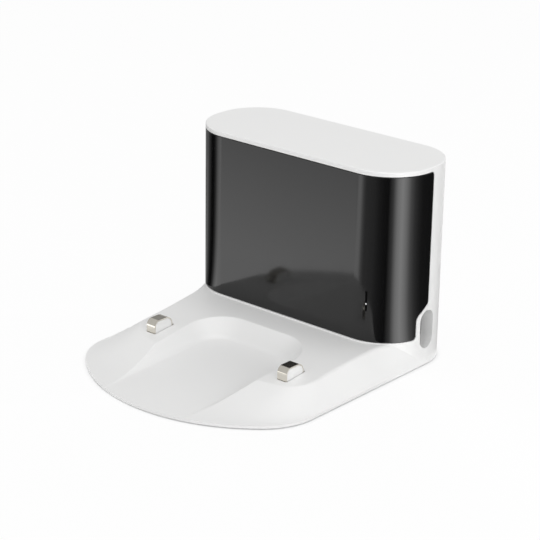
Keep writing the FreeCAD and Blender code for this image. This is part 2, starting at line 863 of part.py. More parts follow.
def pilots(prefix, spots, depth, axis, start):
    """Pilot holes for one kind of screw, on the right-hand side."""
    found = []
    for index, (side, other) in enumerate(spots):
        place = (side, other, start) if axis == "z" else (side, start, other)
        found.append(rod(f"{prefix}_{index}", "screw_radius + seam / 4", place, depth, axis))
    return found


right_holes = [outlet("outlet_right"), slot_right, tray_seat_right]
right_holes += pilots("plate_pilot", SCREW_SPOTS, "screw_length", "z", PLATE_TOP)
right_holes += pilots("board_pilot", BOARD_SPOTS, "standoff + bay_wall / 2", "z",
                      f"{ROOF_TOP} - bay_wall / 2")
right_holes += pilots("beacon_pilot", BEACON_SPOTS, "beacon_standoff - seam", "y", BEACON_BACK)
main_housing = cut("main_housing", filled, [
    bay_room, bay_room_fore, cover_seat, cover_mouth, finger_scoop, inlet_hole,
] + right_holes + twins(right_holes))


# The smoked window: the front of the tower ring, with tongues that reach behind the end walls.
def on_tower_skin(point):
    """True for a point on the outside of the tower."""
    radius = number("tower_front_radius")
    across = abs(point.x) - (number(HALF) - radius)
    along = number(f"{TOWER_FRONT}") + radius - point.y
    if across > 0 and along > 0:
        return abs(math.hypot(across, along) - radius) < 1e-3
    return abs(across - radius) < 1e-3 or abs(along - radius) < 1e-3


def window_border(edge):
    """True for an edge round the border of the window's outside."""
    middle = edge.valueAt((edge.FirstParameter + edge.LastParameter) / 2)
    ends = [vertex.Point for vertex in edge.Vertexes]
    if not all(on_tower_skin(point) for point in ends + [middle]):
        return False
    return not runs_along(edge, "z") or middle.y > number(WINDOW_EDGE) - 1 or abs(
        middle.y - number(f"{REAR} - notch_front")) < 1


window_ring = cut("window_ring", form("window_outer", tower_block(0, 0, number("dock_height"))), [
    form("window_inner", tower_block(number("window_wall"), -1, number("dock_height") + 1))])
window_front = common("window_front", [
    window_ring, form("window_side", window_profile(number("seam")))])
window_soft = rounded("window_soft", window_front, number("window_edge_round"), window_border)
tongues = []
TONGUE_INSIDE = f"{HALF} - wall - tongue_thickness - seam"
for index, share in enumerate(("0.58", "0.84")):
    low = f"window_bottom + {share} * ({ROOM_TOP} - window_bottom)"
    root = box(f"tongue_root_{index}", (TONGUE_INSIDE, f"{WINDOW_EDGE} - tongue_length", low),
               (f"{HALF} - window_wall / 2", f"{WINDOW_EDGE} - 2 * seam", f"{low} + tongue_height"))
    tip = box(f"tongue_tip_{index}", (TONGUE_INSIDE, f"{WINDOW_EDGE} - tongue_length", low),
              (f"{HALF} - wall - seam", f"{WINDOW_EDGE} + tongue_length / 2", f"{low} + tongue_height"))
    tongues.append(fuse(f"tongue_{index}", [root, tip]))
guide_slot = box("guide_slot",
                 (f"{INDICATOR_X} - guide_width / 2 - seam / 2", f"{TOWER_FRONT} - wall",
                  "indicator_low - seam / 2"),
                 (f"{INDICATOR_X} + guide_width / 2 + seam / 2", BEACON_FACE,
                  "indicator_high + seam / 2"))
window_tongued = fuse("window_tongued", [window_soft] + tongues + twins(tongues))
window_panel = cut("window_panel", window_tongued, [guide_slot])

# The pull-off cover of the cable bay, with four spring tongues.
cover_outline = rectangle(f"-({COVER_HALF}) + seam", f"{COVER_HALF} - seam",
                          "cover_low + seam", f"{COVER_HIGH} - seam")
rear_cover_body = sketched_plate("rear_cover_body", "XZ_Plane", f"-({REAR})", cover_outline,
                                 "cover_thickness")
softened(rear_cover_body, "rear_cover_corners", "cover_corner - seam",
         lambda edge: runs_along(edge, "y"))
softened(rear_cover_body, "rear_cover_border", "cover_edge_round",
         lambda edge: edge.BoundBox.YMin > number(REAR) - 1e-4)
cover_tongues = []
TONGUE_LEVELS = ("cover_low + ledge + slack", f"{COVER_HIGH} - ledge - slack - tongue_thickness")
for side in ("-1", "1"):
    for low in TONGUE_LEVELS:
        middle = f"{side} * ({COVER_HALF}) / 2"
        cover_tongues.append(box(
            f"cover_tongue_{len(cover_tongues)}",
            (f"{middle} - tongue_height", f"{REAR} - cover_thickness - tongue_length", low),
            (f"{middle} + tongue_height", f"{REAR} - cover_thickness / 2",
             f"{low} + tongue_thickness")))
rear_cover = fuse("rear_cover", [rear_cover_body] + cover_tongues)

# The bottom plate, its feet and its screws.
plate_slab = box("plate_slab", ("-dock_width", f"{REAR} - room_front + seam", "foot_stand"),
                 ("dock_width", "dock_depth", PLATE_TOP))
plate_blank = common("plate_blank", [
    form("plate_form", base_room_form(number("wall + seam"))), plate_slab])
FOOT_SPOTS = {
    "front": (CONTACT_X, f"foot_ahead - {REAR}"),
    "rear": (f"{HALF} - foot_rear_margin", f"{REAR} - foot_rear_back"),
}
plate_cuts = []
feet = {}
for name, (side, back) in FOOT_SPOTS.items():
    tall = "foot_stand + foot_recess"
    plate_cuts.append(rod(f"foot_recess_{name}", "foot_radius + seam / 2", (side, back, "0"), tall))
    blank = rod(f"foot_blank_{name}", "foot_radius", (side, back, "0"), tall)
    feet[name] = rounded(f"foot_{name}_right", blank, number("foot_stand / 2"),
                         lambda edge: edge.BoundBox.ZMax < 1e-6)
screws = []
for index, (side, back) in enumerate(SCREW_SPOTS):
    seat = (side, back, "foot_stand")
    plate_cuts.append(taper(f"plate_sink_{index}", "screw_head_radius + seam / 2",
                            "screw_radius + seam / 2", seat, "plate_thickness"))
    screws.append(fuse(f"plate_screw_{index}", [
        taper(f"plate_screw_head_{index}", "screw_head_radius", "screw_radius", seat, "plate_thickness"),
        rod(f"plate_screw_shank_{index}", "screw_radius", (side, back, PLATE_TOP),
            "screw_length - seam"),
    ]))
bottom_plate = cut("bottom_plate", plate_blank, plate_cuts + twins(plate_cuts))
plate_screws = group("plate_screws", screws + twins(screws))


# One charging contact: a metal band bent over a white plunger, on a coil that stands on a brass strip.
def hump(name, inset, low, spread):
    """The contact's side outline, pulled in by an inset at the front, the top and the rear."""
    top = f"contact_top - ({inset})"
    block = box(name + "_block",
                (f"{CONTACT_LEFT} - {spread}", f"{CONTACT_FRONT} + {inset}", low),
                (f"{CONTACT_RIGHT} + {spread}", f"{CONTACT_REAR} - ({inset})", top))

    def end(edge, sign):
        if not runs_along(edge, "x") or edge.BoundBox.ZMin < number(top) - 1e-4:
            return False
        return (centre_of(edge).y - number(CONTACT_Y)) * sign > 0

    front = rounded(name + "_front", block, number(f"band_front_round - ({inset})"),
                    lambda edge: end(edge, -1))
    return rounded(name, front, number(f"band_rear_round - ({inset})"), lambda edge: end(edge, 1))


contact_right = cut("contact_right", hump("band_outside", "0", FLANGE_TOP, "0"), [
    hump("band_inside", "band_thickness", f"{FLANGE_TOP} - wall", "wall")])
plunger_body = hump("plunger_body", "band_thickness + seam / 4", FLANGE_LOW, "0")
flange_block = box("flange_block",
                   (f"{CONTACT_LEFT} - flange_reach", f"{CONTACT_FRONT} - flange_reach", FLANGE_LOW),
                   (f"{CONTACT_RIGHT} + flange_reach", f"{CONTACT_REAR} + flange_reach",
                    f"{FLANGE_TOP} - seam / 4"))
plunger_flange = rounded("plunger_flange", flange_block, number("contact_corner"),
                         lambda edge: runs_along(edge, "z"))
plunger_hollow = box("plunger_hollow",
                     (f"{CONTACT_LEFT} + plunger_wall", f"{CONTACT_FRONT} + band_front_round", "0"),
                     (f"{CONTACT_RIGHT} - plunger_wall", f"{CONTACT_REAR} - band_rear_round",
                      "dock_height"))
contact_plunger_right = cut("contact_plunger_right",
                            fuse("plunger_whole", [plunger_body, plunger_flange]), [plunger_hollow])

tray_block = box("tray_block",
                 (f"{CONTACT_X} - ({TRAY_HALF}) - tray_wall", f"{CONTACT_Y} - ({TRAY_LONG}) - tray_wall",
                  PLATE_TOP),
                 (f"{CONTACT_X} + {TRAY_HALF} + tray_wall", f"{CONTACT_Y} + {TRAY_LONG} + tray_wall",
                  "contact_roof"))
tray_room = box("tray_room",
                (f"{CONTACT_X} - ({TRAY_HALF})", f"{CONTACT_Y} - ({TRAY_LONG})", TRAY_FLOOR),
                (f"{CONTACT_X} + {TRAY_HALF}", f"{CONTACT_Y} + {TRAY_LONG}", "contact_roof + wall"))
tray_gate = box("tray_gate",
                (f"{CONTACT_X} - strip_width / 2 - seam", CONTACT_Y, TRAY_FLOOR),
                (f"{CONTACT_X} + strip_width / 2 + seam", f"{CONTACT_Y} + contact_length",
                 f"{STRIP_TOP} + 2 * lead_radius + slack"))
contact_carrier_right = cut("contact_carrier_right", tray_block, [tray_room, tray_gate])
contact_terminal_right = box("contact_terminal_right",
                             (f"{CONTACT_X} - strip_width / 2", f"{CONTACT_Y} - strip_width", TRAY_FLOOR),
                             (f"{CONTACT_X} + strip_width / 2", f"{CONTACT_Y} + strip_tail", STRIP_TOP))


def coil_spring():
    """A round wire wound on a helix between the strip and the inside of the band."""
    wire = number("coil_wire_radius")
    low = number(STRIP_TOP) + wire + number("seam / 8")
    high = number(BAND_INSIDE) - wire - number("seam / 8")
    turn = number("coil_radius")
    middle = Vector(number(CONTACT_X), number(CONTACT_Y), low)
    spine = Part.makeHelix((high - low) / number("coil_turns"), high - low, turn)
    spine.translate(middle)
    ring = Part.Wire([Part.makeCircle(wire, middle + Vector(turn, 0, 0), Vector(0, 1, 0))])
    return Part.Wire(spine.Edges).makePipeShell([ring], True, True)


contact_spring_right = form("contact_spring_right", coil_spring())


def lead_shape(points, radius, bend):
    """A round wire through points, with a tangent arc of the bend radius at every corner."""
    edges = []
    start = points[0]
    for before, corner, after in zip(points, points[1:], points[2:]):
        back = (before - corner).normalize()
        ahead = (after - corner).normalize()
        half = back.getAngle(ahead) / 2
        reach = bend / math.tan(half)
        middle = corner + (back + ahead).normalize() * (bend / math.sin(half) - bend)
        edges.append(Part.makeLine(start, corner + back * reach))
        edges.append(Part.Arc(corner + back * reach, middle, corner + ahead * reach).toShape())
        start = corner + ahead * reach
    edges.append(Part.makeLine(start, points[-1]))
    ring = Part.Wire([Part.makeCircle(radius, points[0], points[1] - points[0])])
    return Part.Wire(edges).makePipeShell([ring], True, False)


lead_height = number(STRIP_TOP) + number("lead_radius + seam / 8")
lead_y = number(f"{BEACON_FACE} - lead_ahead")
header_z = number(f"{BOARD_TOP} + header_height / 2")
contact_lead_right = form("contact_lead_right", lead_shape([
    Vector(number(CONTACT_X), number(f"{CONTACT_Y} + {TRAY_LONG}"), lead_height),
    Vector(number(CONTACT_X), number(f"{TOWER_FRONT} - lead_turn"), lead_height),
    Vector(number("lead_side"), lead_y, lead_height),
    Vector(number("lead_side"), lead_y, header_z),
    Vector(number("lead_side"), number(f"{BOARD_FRONT} + seam / 8"), header_z),
], number("lead_radius"), number("lead_bend")))

# The power supply on the roof of the bay.
power_board = sketched_plate("power_board", "XY_Plane", BOARD_LOW,
                             rectangle(f"-({BOARD_HALF})", BOARD_HALF, BOARD_FRONT, BOARD_REAR),
                             "board_thickness")
board_holes = BOARD_SPOTS + [(f"-({side})", back) for side, back in BOARD_SPOTS]
drilled(power_board, "board_holes", "XY_Plane", BOARD_LOW, board_holes, "screw_radius + seam / 2")
PIN_SPOTS = [(f"inlet_side {sign} pin_pitch / 2", INLET_Y) for sign in ("-", "+")]
drilled(power_board, "pin_holes", "XY_Plane", BOARD_LOW, PIN_SPOTS, "pin_radius + seam / 2")


def pan_screws(name, spots, axis, seat, length):
    """Pan-head screws, the same on both sides, driven down or towards the rear from their seat."""
    found = []
    for index, (side, other) in enumerate(spots):
        if axis == "z":
            head = (side, other, seat)
            shank = (side, other, f"{seat} - ({length})")
        else:
            head = (side, f"{seat} - screw_head_height", other)
            shank = (side, seat, other)
        found.append(fuse(f"{name}_{index}", [
            rod(f"{name}_head_{index}", "screw_head_radius", head, "screw_head_height", axis),
            rod(f"{name}_shank_{index}", "screw_radius", shank, length, axis),
        ]))
    return group(name, found + twins(found))


board_screws = pan_screws("board_screws", BOARD_SPOTS, "z", BOARD_TOP, "board_thickness + standoff")

TRANSFORMER_FRONT = f"{BOARD_FRONT} + transformer_inset"
BULK_MIDDLE = f"{BOARD_FRONT} + bulk_inset"
core = box("core", ("transformer_side - transformer_width / 2", TRANSFORMER_FRONT, BOARD_TOP),
           ("transformer_side + transformer_width / 2", f"{TRANSFORMER_FRONT} + transformer_length",
            f"{BOARD_TOP} + transformer_height"))
core_windows = []
for index, sign in enumerate(("-", "+")):
    edge = f"transformer_side {sign} transformer_width / 2"
    inner = f"transformer_side {sign} transformer_width / 4"
    core_windows.append(box(
        f"core_window_{index}",
        (f"min({edge}, {inner})", f"{TRANSFORMER_FRONT} + transformer_length / 4", BAY_ROOF),
        (f"max({edge}, {inner})", f"{TRANSFORMER_FRONT} + 3 * transformer_length / 4", "dock_height")))
winding = rod("winding", "0.36 * transformer_width",
              ("transformer_side", f"{TRANSFORMER_FRONT} + transformer_length / 4 + 0.5",
               f"{BOARD_TOP} + transformer_height / 2"),
              "transformer_length / 2 - 1", "y")
transformer = fuse("transformer", [cut("core_cut", core, core_windows), winding])


def standing_can(name, radius, side, back, height):
    """A capacitor can standing on the power board, rounded over at its top."""
    can = rod(name + "_can", radius, (side, back, BOARD_TOP), height)
    return rounded(name, can, number("can_round"), lambda edge: (
        edge.BoundBox.ZMin > number(f"{BOARD_TOP} + {height}") - 1e-4))


bulk_capacitor = standing_can("bulk_capacitor", "bulk_radius", "-bulk_side", BULK_MIDDLE, "bulk_height")
output_capacitor = standing_can("output_capacitor", "output_radius",
                                f"{BOARD_HALF} - output_inset", BULK_MIDDLE, "output_height")
line_choke = doc.addObject("Part::Torus", "line_choke")
line_choke.setExpression("Radius1", expression("choke_radius"))
line_choke.setExpression("Radius2", expression("choke_round"))
placed(line_choke, (f"choke_inset - ({BOARD_HALF})", f"{BOARD_FRONT} + choke_radius + choke_round + seam",
                    f"{BOARD_TOP} + choke_round"))
mains_fuse = rod("mains_fuse", "fuse_radius",
                 (f"fuse_inset - ({BOARD_HALF})", f"{BOARD_REAR} - fuse_length - wall",
                  f"{BOARD_TOP} + fuse_radius"),
                 "fuse_length", "y")
rectifier = box("rectifier",
                ("-rectifier_side - rectifier_width / 2", f"{BOARD_REAR} - wall - rectifier_depth",
                 BOARD_TOP),
                ("-rectifier_side + rectifier_width / 2", f"{BOARD_REAR} - wall",
                 f"{BOARD_TOP} + rectifier_height"))
sink_plate = box("sink_plate", ("sink_side", TRANSFORMER_FRONT, BOARD_TOP),
                 ("sink_side + sink_thickness", f"{BOARD_REAR} - wall", f"{BOARD_TOP} + sink_height"))
sink_fold = box("sink_fold",
                ("sink_side", TRANSFORMER_FRONT, f"{BOARD_TOP} + sink_height - sink_thickness"),
                ("sink_side + sink_fold", f"{BOARD_REAR} - wall", f"{BOARD_TOP} + sink_height"))
heat_sink = fuse("heat_sink", [sink_plate, sink_fold])
header_block = box("header_block", ("-header_half", BOARD_FRONT, BOARD_TOP),
                   ("header_half", f"{BOARD_FRONT} + header_depth", f"{BOARD_TOP} + header_height"))
header_bores = []
for index, side in enumerate(("lead_side", "-lead_side")):
    header_bores.append(rod(f"header_bore_{index}", "lead_radius + seam / 2",
                            (side, f"{BOARD_FRONT} - wall", f"{BOARD_TOP} + header_height / 2"),
                            "wall + seam", "y"))
lead_header = cut("lead_header", header_block, header_bores)

# The two-pin mains inlet, looking down into the bay.
inlet_body = box("inlet_body", ("inlet_side - inlet_width / 2", f"{INLET_Y} - inlet_depth / 2", INLET_LOW),
                 ("inlet_side + inlet_width / 2", f"{INLET_Y} + inlet_depth / 2", BOARD_LOW))
inlet_flange = box("inlet_flange",
                   ("inlet_side - inlet_width / 2 - flange_reach",
                    f"{INLET_Y} - inlet_depth / 2 - flange_reach", ROOF_TOP),
                   ("inlet_side + inlet_width / 2 + flange_reach",
                    f"{INLET_Y} + inlet_depth / 2 + flange_reach", f"{ROOF_TOP} + flange_reach"))
socket_parts = [box("socket_bridge",
                    ("inlet_side - pin_pitch / 2", f"{INLET_Y} - 0.7 * socket_radius",
                     f"{INLET_LOW} - wall"),
                    ("inlet_side + pin_pitch / 2", f"{INLET_Y} + 0.7 * socket_radius",
                     f"{INLET_LOW} + socket_depth"))]
pin_bores = []
pins = []
for index, (side, back) in enumerate(PIN_SPOTS):
    socket_parts.append(rod(f"socket_{index}", "socket_radius", (side, back, f"{INLET_LOW} - wall"),
                            "socket_depth + wall"))
    pin_bores.append(rod(f"pin_bore_{index}", "pin_radius + seam / 8", (side, back, INLET_LOW),
                         "dock_height"))
    pins.append(rod(f"inlet_pin_{index}", "pin_radius", (side, back, f"{INLET_LOW} + wall"),
                    f"{BOARD_TOP} - ({INLET_LOW}) - wall + pin_tail"))
mains_inlet = cut("mains_inlet", fuse("inlet_whole", [inlet_body, inlet_flange]),
                  [fuse("socket", socket_parts)] + pin_bores)
inlet_pins = group("inlet_pins", pins)

# The beacon behind the window.
beacon_low = "beacon_mid - beacon_height / 2"
beacon_high = "beacon_mid + beacon_height / 2"
beacon_board = sketched_plate("beacon_board", "XZ_Plane", f"-({BEACON_BACK})",
                              rectangle(f"-({BEACON_HALF})", BEACON_HALF, beacon_low, beacon_high),
                              "board_thickness")
beacon_holes = BEACON_SPOTS + [(f"-({side})", up) for side, up in BEACON_SPOTS]
drilled(beacon_board, "beacon_holes", "XZ_Plane", f"-({BEACON_BACK})", beacon_holes,
        "screw_radius + seam / 2")
beacon_screws = pan_screws("beacon_screws", BEACON_SPOTS, "y", BEACON_FACE,
                           "board_thickness + beacon_standoff - 2 * seam")


def emitter(name, side):
    """A domed infrared emitter standing out from the beacon board."""
    front = f"{BEACON_FACE} - emitter_length - emitter_radius"
    barrel = rod(name + "_barrel", "emitter_radius", (side, front, "beacon_mid"),
                 "emitter_length + emitter_radius", "y")
    dome = rounded(name + "_dome", barrel, number("0.9 * emitter_radius"), lambda edge: (
        edge.BoundBox.YMax < number(front) + 1e-4))
    rim_ring = rod(name + "_rim", "emitter_radius + seam",
                   (side, f"{BEACON_FACE} - wall / 2", "beacon_mid"), "wall / 2", "y")
    return fuse(name, [dome, rim_ring])


emitters = {}
for name, side in (("left", "-emitter_spread"), ("centre", "0"), ("right", "emitter_spread")):
    emitters[name] = emitter(f"beacon_emitter_{name}", side)
led_mid = "indicator_low + indicator_spot"
status_led = box("status_led",
                 (f"{INDICATOR_X} - led_size / 2", f"{BEACON_FACE} - led_size / 2",
                  f"{led_mid} - led_size / 2"),
                 (f"{INDICATOR_X} + led_size / 2", BEACON_FACE, f"{led_mid} + led_size / 2"))
guide_bar = box("guide_bar", (f"{INDICATOR_X} - guide_width / 2", TOWER_FRONT, "indicator_low"),
                (f"{INDICATOR_X} + guide_width / 2", f"{BEACON_FACE} - led_size / 2", "indicator_high"))
light_guide = common("light_guide", [
    guide_bar, form("guide_limit", tower_block(0, 0, number("dock_height")))])
board_link = box("board_link", ("-link_half", BEACON_FACE, beacon_high),
                 ("link_half", f"{BEACON_FACE} + link_thickness", BOARD_LOW))

# Everything that is handed over, with the left-hand twins of the right-hand pieces.
pieces = {
    "main_housing": main_housing,
    "window_panel": window_panel,
    "rear_cover": rear_cover,
    "bottom_plate": bottom_plate,
    "plate_screws": plate_screws,
    "power_board": power_board,
    "board_screws": board_screws,
    "transformer": transformer,
    "bulk_capacitor": bulk_capacitor,
    "output_capacitor": output_capacitor,
    "line_choke": line_choke,
    "mains_fuse": mains_fuse,
    "rectifier": rectifier,
    "heat_sink": heat_sink,
    "lead_header": lead_header,
    "mains_inlet": mains_inlet,
    "inlet_pins": inlet_pins,
    "beacon_board": beacon_board,
    "beacon_screws": beacon_screws,
    "status_led": status_led,
    "light_guide": light_guide,
    "board_link": board_link,
}
for name, item in emitters.items():
    pieces[f"beacon_emitter_{name}"] = item
for name, item in (
    ("contact", contact_right),
    ("contact_plunger", contact_plunger_right),
    ("contact_spring", contact_spring_right),
    ("contact_carrier", contact_carrier_right),
    ("contact_terminal", contact_terminal_right),
    ("contact_lead", contact_lead_right),
    ("foot_front", feet["front"]),
    ("foot_rear", feet["rear"]),
):
    pieces[f"{name}_right"] = item
    pieces[f"{name}_left"] = mirrored(f"{name}_left", item)

doc.recompute()
for item in doc.Objects:
    troubles = [word for word in item.State if word in ("Invalid", "Error")]
    if troubles:
        raise RuntimeError(f"{item.Name} is {troubles}")
os.makedirs("parts", exist_ok=True)
for name, item in pieces.items():
    item.Label = name
    if item.Shape.isNull() or not item.Shape.isValid() or not item.Shape.Solids:
        raise RuntimeError(f"{name} has no valid solid")
    item.Shape.exportStep(f"parts/{name}.step")
    print(name, len(item.Shape.Solids), round(item.Shape.Volume / 1000, 2), "cm3")
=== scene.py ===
# %% [markdown]
# # A charging dock, dressed
#
# The dock is a white moulded base with a tower. The tower has a smoked front that wraps round both ends.
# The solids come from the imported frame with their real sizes, and nothing here moves or reshapes them.
# This lesson gives each of them a finish, adds the fine pieces that a solid model leaves out, and sets
# up the light and the camera. Every length is in metres.

import bpy
import numpy as np
from mathutils import Matrix, Vector


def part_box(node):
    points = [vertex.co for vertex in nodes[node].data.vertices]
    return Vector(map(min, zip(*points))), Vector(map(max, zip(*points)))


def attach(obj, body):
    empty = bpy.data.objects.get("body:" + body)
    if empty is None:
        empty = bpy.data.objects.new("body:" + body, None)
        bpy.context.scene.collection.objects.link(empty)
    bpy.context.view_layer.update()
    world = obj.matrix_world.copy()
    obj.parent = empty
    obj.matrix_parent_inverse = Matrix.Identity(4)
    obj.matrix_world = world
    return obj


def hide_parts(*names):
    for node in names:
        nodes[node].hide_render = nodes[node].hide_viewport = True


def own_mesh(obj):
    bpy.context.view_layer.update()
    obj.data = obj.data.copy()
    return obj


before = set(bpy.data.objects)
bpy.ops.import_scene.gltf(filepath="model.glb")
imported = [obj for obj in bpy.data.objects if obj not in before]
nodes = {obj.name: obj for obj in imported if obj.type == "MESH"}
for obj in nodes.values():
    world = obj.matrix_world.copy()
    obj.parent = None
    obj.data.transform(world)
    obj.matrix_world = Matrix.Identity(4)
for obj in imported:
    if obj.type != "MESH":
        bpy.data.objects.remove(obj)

MM = 0.001
X, Y, Z = 0, 1, 2
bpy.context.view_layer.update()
print("nodes:", len(nodes))

# %% [markdown]
# ## The camera
#
# The view was measured from straight edges whose real lengths are known: the lid, the window and the
# rim of the base. They give a long lens, standing well back, to the right and a little above. A camera
# in Blender looks along its own -Z. It could be turned by angles or made to track a point. Its matrix is
# built from the three measured directions right, up and back instead, because nothing is lost on the way.

# %% Camera
RIGHT = Vector((0.7546, 0.6560, 0.0140))
UP = Vector((-0.2426, 0.2592, 0.9349))
BACK = Vector((0.6097, -0.7088, 0.3548))
EYE = Vector((0.5411, -0.6154, 0.3563))
FOCAL_PIXELS = 1887.0
FRAME_PIXELS = 540.0
SENSOR = 36.0

lens = bpy.data.cameras.new("long_lens")
lens.sensor_fit = "HORIZONTAL"
lens.sensor_width = SENSOR
lens.lens = FOCAL_PIXELS / FRAME_PIXELS * SENSOR
lens.clip_start = 0.01
lens.clip_end = 30.0
camera = bpy.data.objects.new("camera", lens)
turn = Matrix((RIGHT, UP, BACK)).transposed().to_4x4()
camera.matrix_world = Matrix.Translation(EYE) @ turn
bpy.context.scene.collection.objects.link(camera)
bpy.context.scene.camera = camera
print("lens in mm:", round(lens.lens, 1))

# %% [markdown]
# ## Small helpers for node materials
#
# A finish is a chain of nodes: a coordinate, a pattern made from it, and a shader that reads the pattern
# as colour, roughness or bump. Nodes can be joined by hand in the editor. The helpers below add a node and
# fill its sockets in one line, so that each finish further down reads like a recipe. A value that is the
# same all over goes straight on the socket.

# %% Nodes and sockets


def new_finish(name):
    """An empty material with a Principled shader: returns the material, its node tree and the shader."""
    material = bpy.data.materials.new(name)
    material.use_nodes = True
    tree = material.node_tree
    return material, tree, tree.nodes["Principled BSDF"]


def put(tree, socket, value):
    """Set one socket, or link it where the value is another node's output."""
    if isinstance(value, bpy.types.NodeSocket):
        tree.links.new(value, socket)
    else:
        socket.default_value = value


def fill(tree, node, **sockets):
    """Put values on a node's named sockets, with an underscore for each space in a name."""
    for key, value in sockets.items():
        put(tree, node.inputs[key.replace("_", " ")], value)


def add_node(tree, kind, settings=None, **sockets):
    """One node with its settings, and its named sockets filled."""
    node = tree.nodes.new(kind)
    for key, value in (settings or {}).items():
        setattr(node, key, value)
    fill(tree, node, **sockets)
    return node


def coat_with(material, *names):
    """Give CAD nodes a finish."""
    for name in names:
        nodes[name].data.materials.clear()
        nodes[name].data.materials.append(material)


print("node kinds at hand:", len([kind for kind in dir(bpy.types) if kind.startswith("ShaderNode")]))

# %% [markdown]
# ## Patterns
#
# Every pattern here starts from Object coordinates, which are metres on the part itself. Pictures wrapped
# round the shape would need an unwrapped surface for each piece. A noise needs none, has the same size
# everywhere, and stays in place when a piece moves.

# %% Patterns
NOISE_LOW = 0.3
NOISE_HIGH = 0.7
MIX_FACTOR, MIX_FIRST, MIX_SECOND, MIX_RESULT = 0, 6, 7, 2


def place(tree, scale=(1.0, 1.0, 1.0)):
    """Object coordinates, stretched by a Mapping node."""
    source = add_node(tree, "ShaderNodeTexCoord")
    mapping = add_node(tree, "ShaderNodeMapping", Vector=source.outputs["Object"], Scale=scale)
    return mapping.outputs["Vector"]


def grain(tree, vector, size, detail=2.0):
    """Noise whose blobs are about one size across, in metres."""
    noise = add_node(tree, "ShaderNodeTexNoise", Vector=vector, Scale=1.0 / size, Detail=detail)
    return noise.outputs["Fac"]


def ramp(tree, value, start, stop, low, high):
    """A value carried over in a straight line from the range start to stop to the range low to high."""
    node = add_node(tree, "ShaderNodeMapRange", Value=value,
                    From_Min=start, From_Max=stop, To_Min=low, To_Max=high)
    return node.outputs["Result"]


def spread(tree, noise, low, high):
    """A noise, which stays mostly in the middle of 0 to 1, carried over to the range from low to high."""
    return ramp(tree, noise, NOISE_LOW, NOISE_HIGH, low, high)


def blend(tree, factor, first, second):
    """A colour between two, by a factor."""
    node = add_node(tree, "ShaderNodeMix", {"data_type": "RGBA"})
    put(tree, node.inputs[MIX_FACTOR], factor)
    put(tree, node.inputs[MIX_FIRST], (*first, 1.0))
    put(tree, node.inputs[MIX_SECOND], (*second, 1.0))
    return node.outputs[MIX_RESULT]


def press(tree, shader, height, depth, strength):
    """Bump of one depth, in metres, on the shader's normal."""
    bump = add_node(tree, "ShaderNodeBump", Height=height, Strength=strength, Distance=depth)
    fill(tree, shader, Normal=bump.outputs["Normal"])


print("noise used from", NOISE_LOW, "to", NOISE_HIGH)

# %% [markdown]
# ## White moulded plastic
#
# The housing, the cover and the bottom plate are injection moulded in white. The steel of such a mould
# is eroded to a very fine matt grain, which breaks up the highlights and hides sink marks. Plain white with
# one roughness would do from afar. The finish here has a grain a quarter of a millimetre across as bump,
# a slightly uneven gloss, and hardly any change of colour, so it also holds up close.

# %% White plastic
PLASTIC_IOR = 1.49
DRIFT_SIZE = 30 * MM
DRIFT_SHADE = 0.985
GRAIN_SIZE = 0.28 * MM
GRAIN_GLOSS = 0.04
GRAIN_STRENGTH = 0.35


def moulded_white(name, shade, gloss, grain_depth):
    """White plastic with an eroded grain: colour and gloss drift slowly, and the bump is fine."""
    material, tree, shader = new_finish(name)
    vector = place(tree)
    drift = grain(tree, vector, DRIFT_SIZE, 3.0)
    fine = grain(tree, vector, GRAIN_SIZE)
    darker = tuple(DRIFT_SHADE * part for part in shade)
    fill(tree, shader, Base_Color=blend(tree, drift, darker, shade), IOR=PLASTIC_IOR,
         Roughness=spread(tree, fine, gloss - GRAIN_GLOSS, gloss + GRAIN_GLOSS))
    press(tree, shader, fine, grain_depth, GRAIN_STRENGTH)
    return material


housing_white = moulded_white("housing_white", (0.86, 0.86, 0.855), 0.42, 0.012 * MM)
cover_white = moulded_white("cover_white", (0.85, 0.85, 0.845), 0.45, 0.014 * MM)
plate_white = moulded_white("plate_white", (0.78, 0.78, 0.775), 0.5, 0.02 * MM)
coat_with(housing_white, "main_housing", "contact_plunger_left", "contact_plunger_right")
coat_with(cover_white, "rear_cover")
coat_with(plate_white, "bottom_plate")
print("white finishes:", housing_white.name, cover_white.name, plate_white.name)

# %% [markdown]
# ## The smoked window
#
# The front of the tower is a polished sheet that looks black but lets infrared light through. Glass with a
# dark filling would be truer, but nothing behind it shows, so an opaque black with a polish is enough. What
# one sees is the mirror image of the room, of the base and of the contacts. A trace of waviness in the
# surface keeps that image from being perfect.

# %% Smoked window
SMOKE_DARK = (0.002, 0.002, 0.0022)
SMOKE_LIGHT = (0.003, 0.003, 0.0032)
WAVE_SIZE = 40 * MM
WAVE_DEPTH = 0.02 * MM
HAZE_SIZE = 6 * MM

smoked, tree, shader = new_finish("smoked_window")
vector = place(tree)
wave = grain(tree, vector, WAVE_SIZE, 1.0)
haze = grain(tree, vector, HAZE_SIZE)
fill(tree, shader, Base_Color=blend(tree, wave, SMOKE_DARK, SMOKE_LIGHT),
     Roughness=spread(tree, haze, 0.08, 0.11), IOR=1.75, Specular_IOR_Level=0.305)
press(tree, shader, wave, WAVE_DEPTH, 0.2)
coat_with(smoked, "window_panel")
print("window finish:", smoked.name)

# %% [markdown]
# ## Metals
#
# The contacts are plated with nickel, which is a warm grey, and docking leaves fine lines along the way the
# robot slides. Blender's anisotropic gloss could stretch the highlights. A noise that is stretched along one
# axis shows the lines themselves, and the same recipe gives drawn wire, sheet and strip in other colours.

# %% Metals
LINE_STRETCH = 40.0
LINE_WIDTH = 0.12 * MM
LINE_DEPTH = 0.002 * MM
LINE_GLOSS = 0.05
PATCH_SIZE = 3 * MM
PATCH_SHADE = 0.9


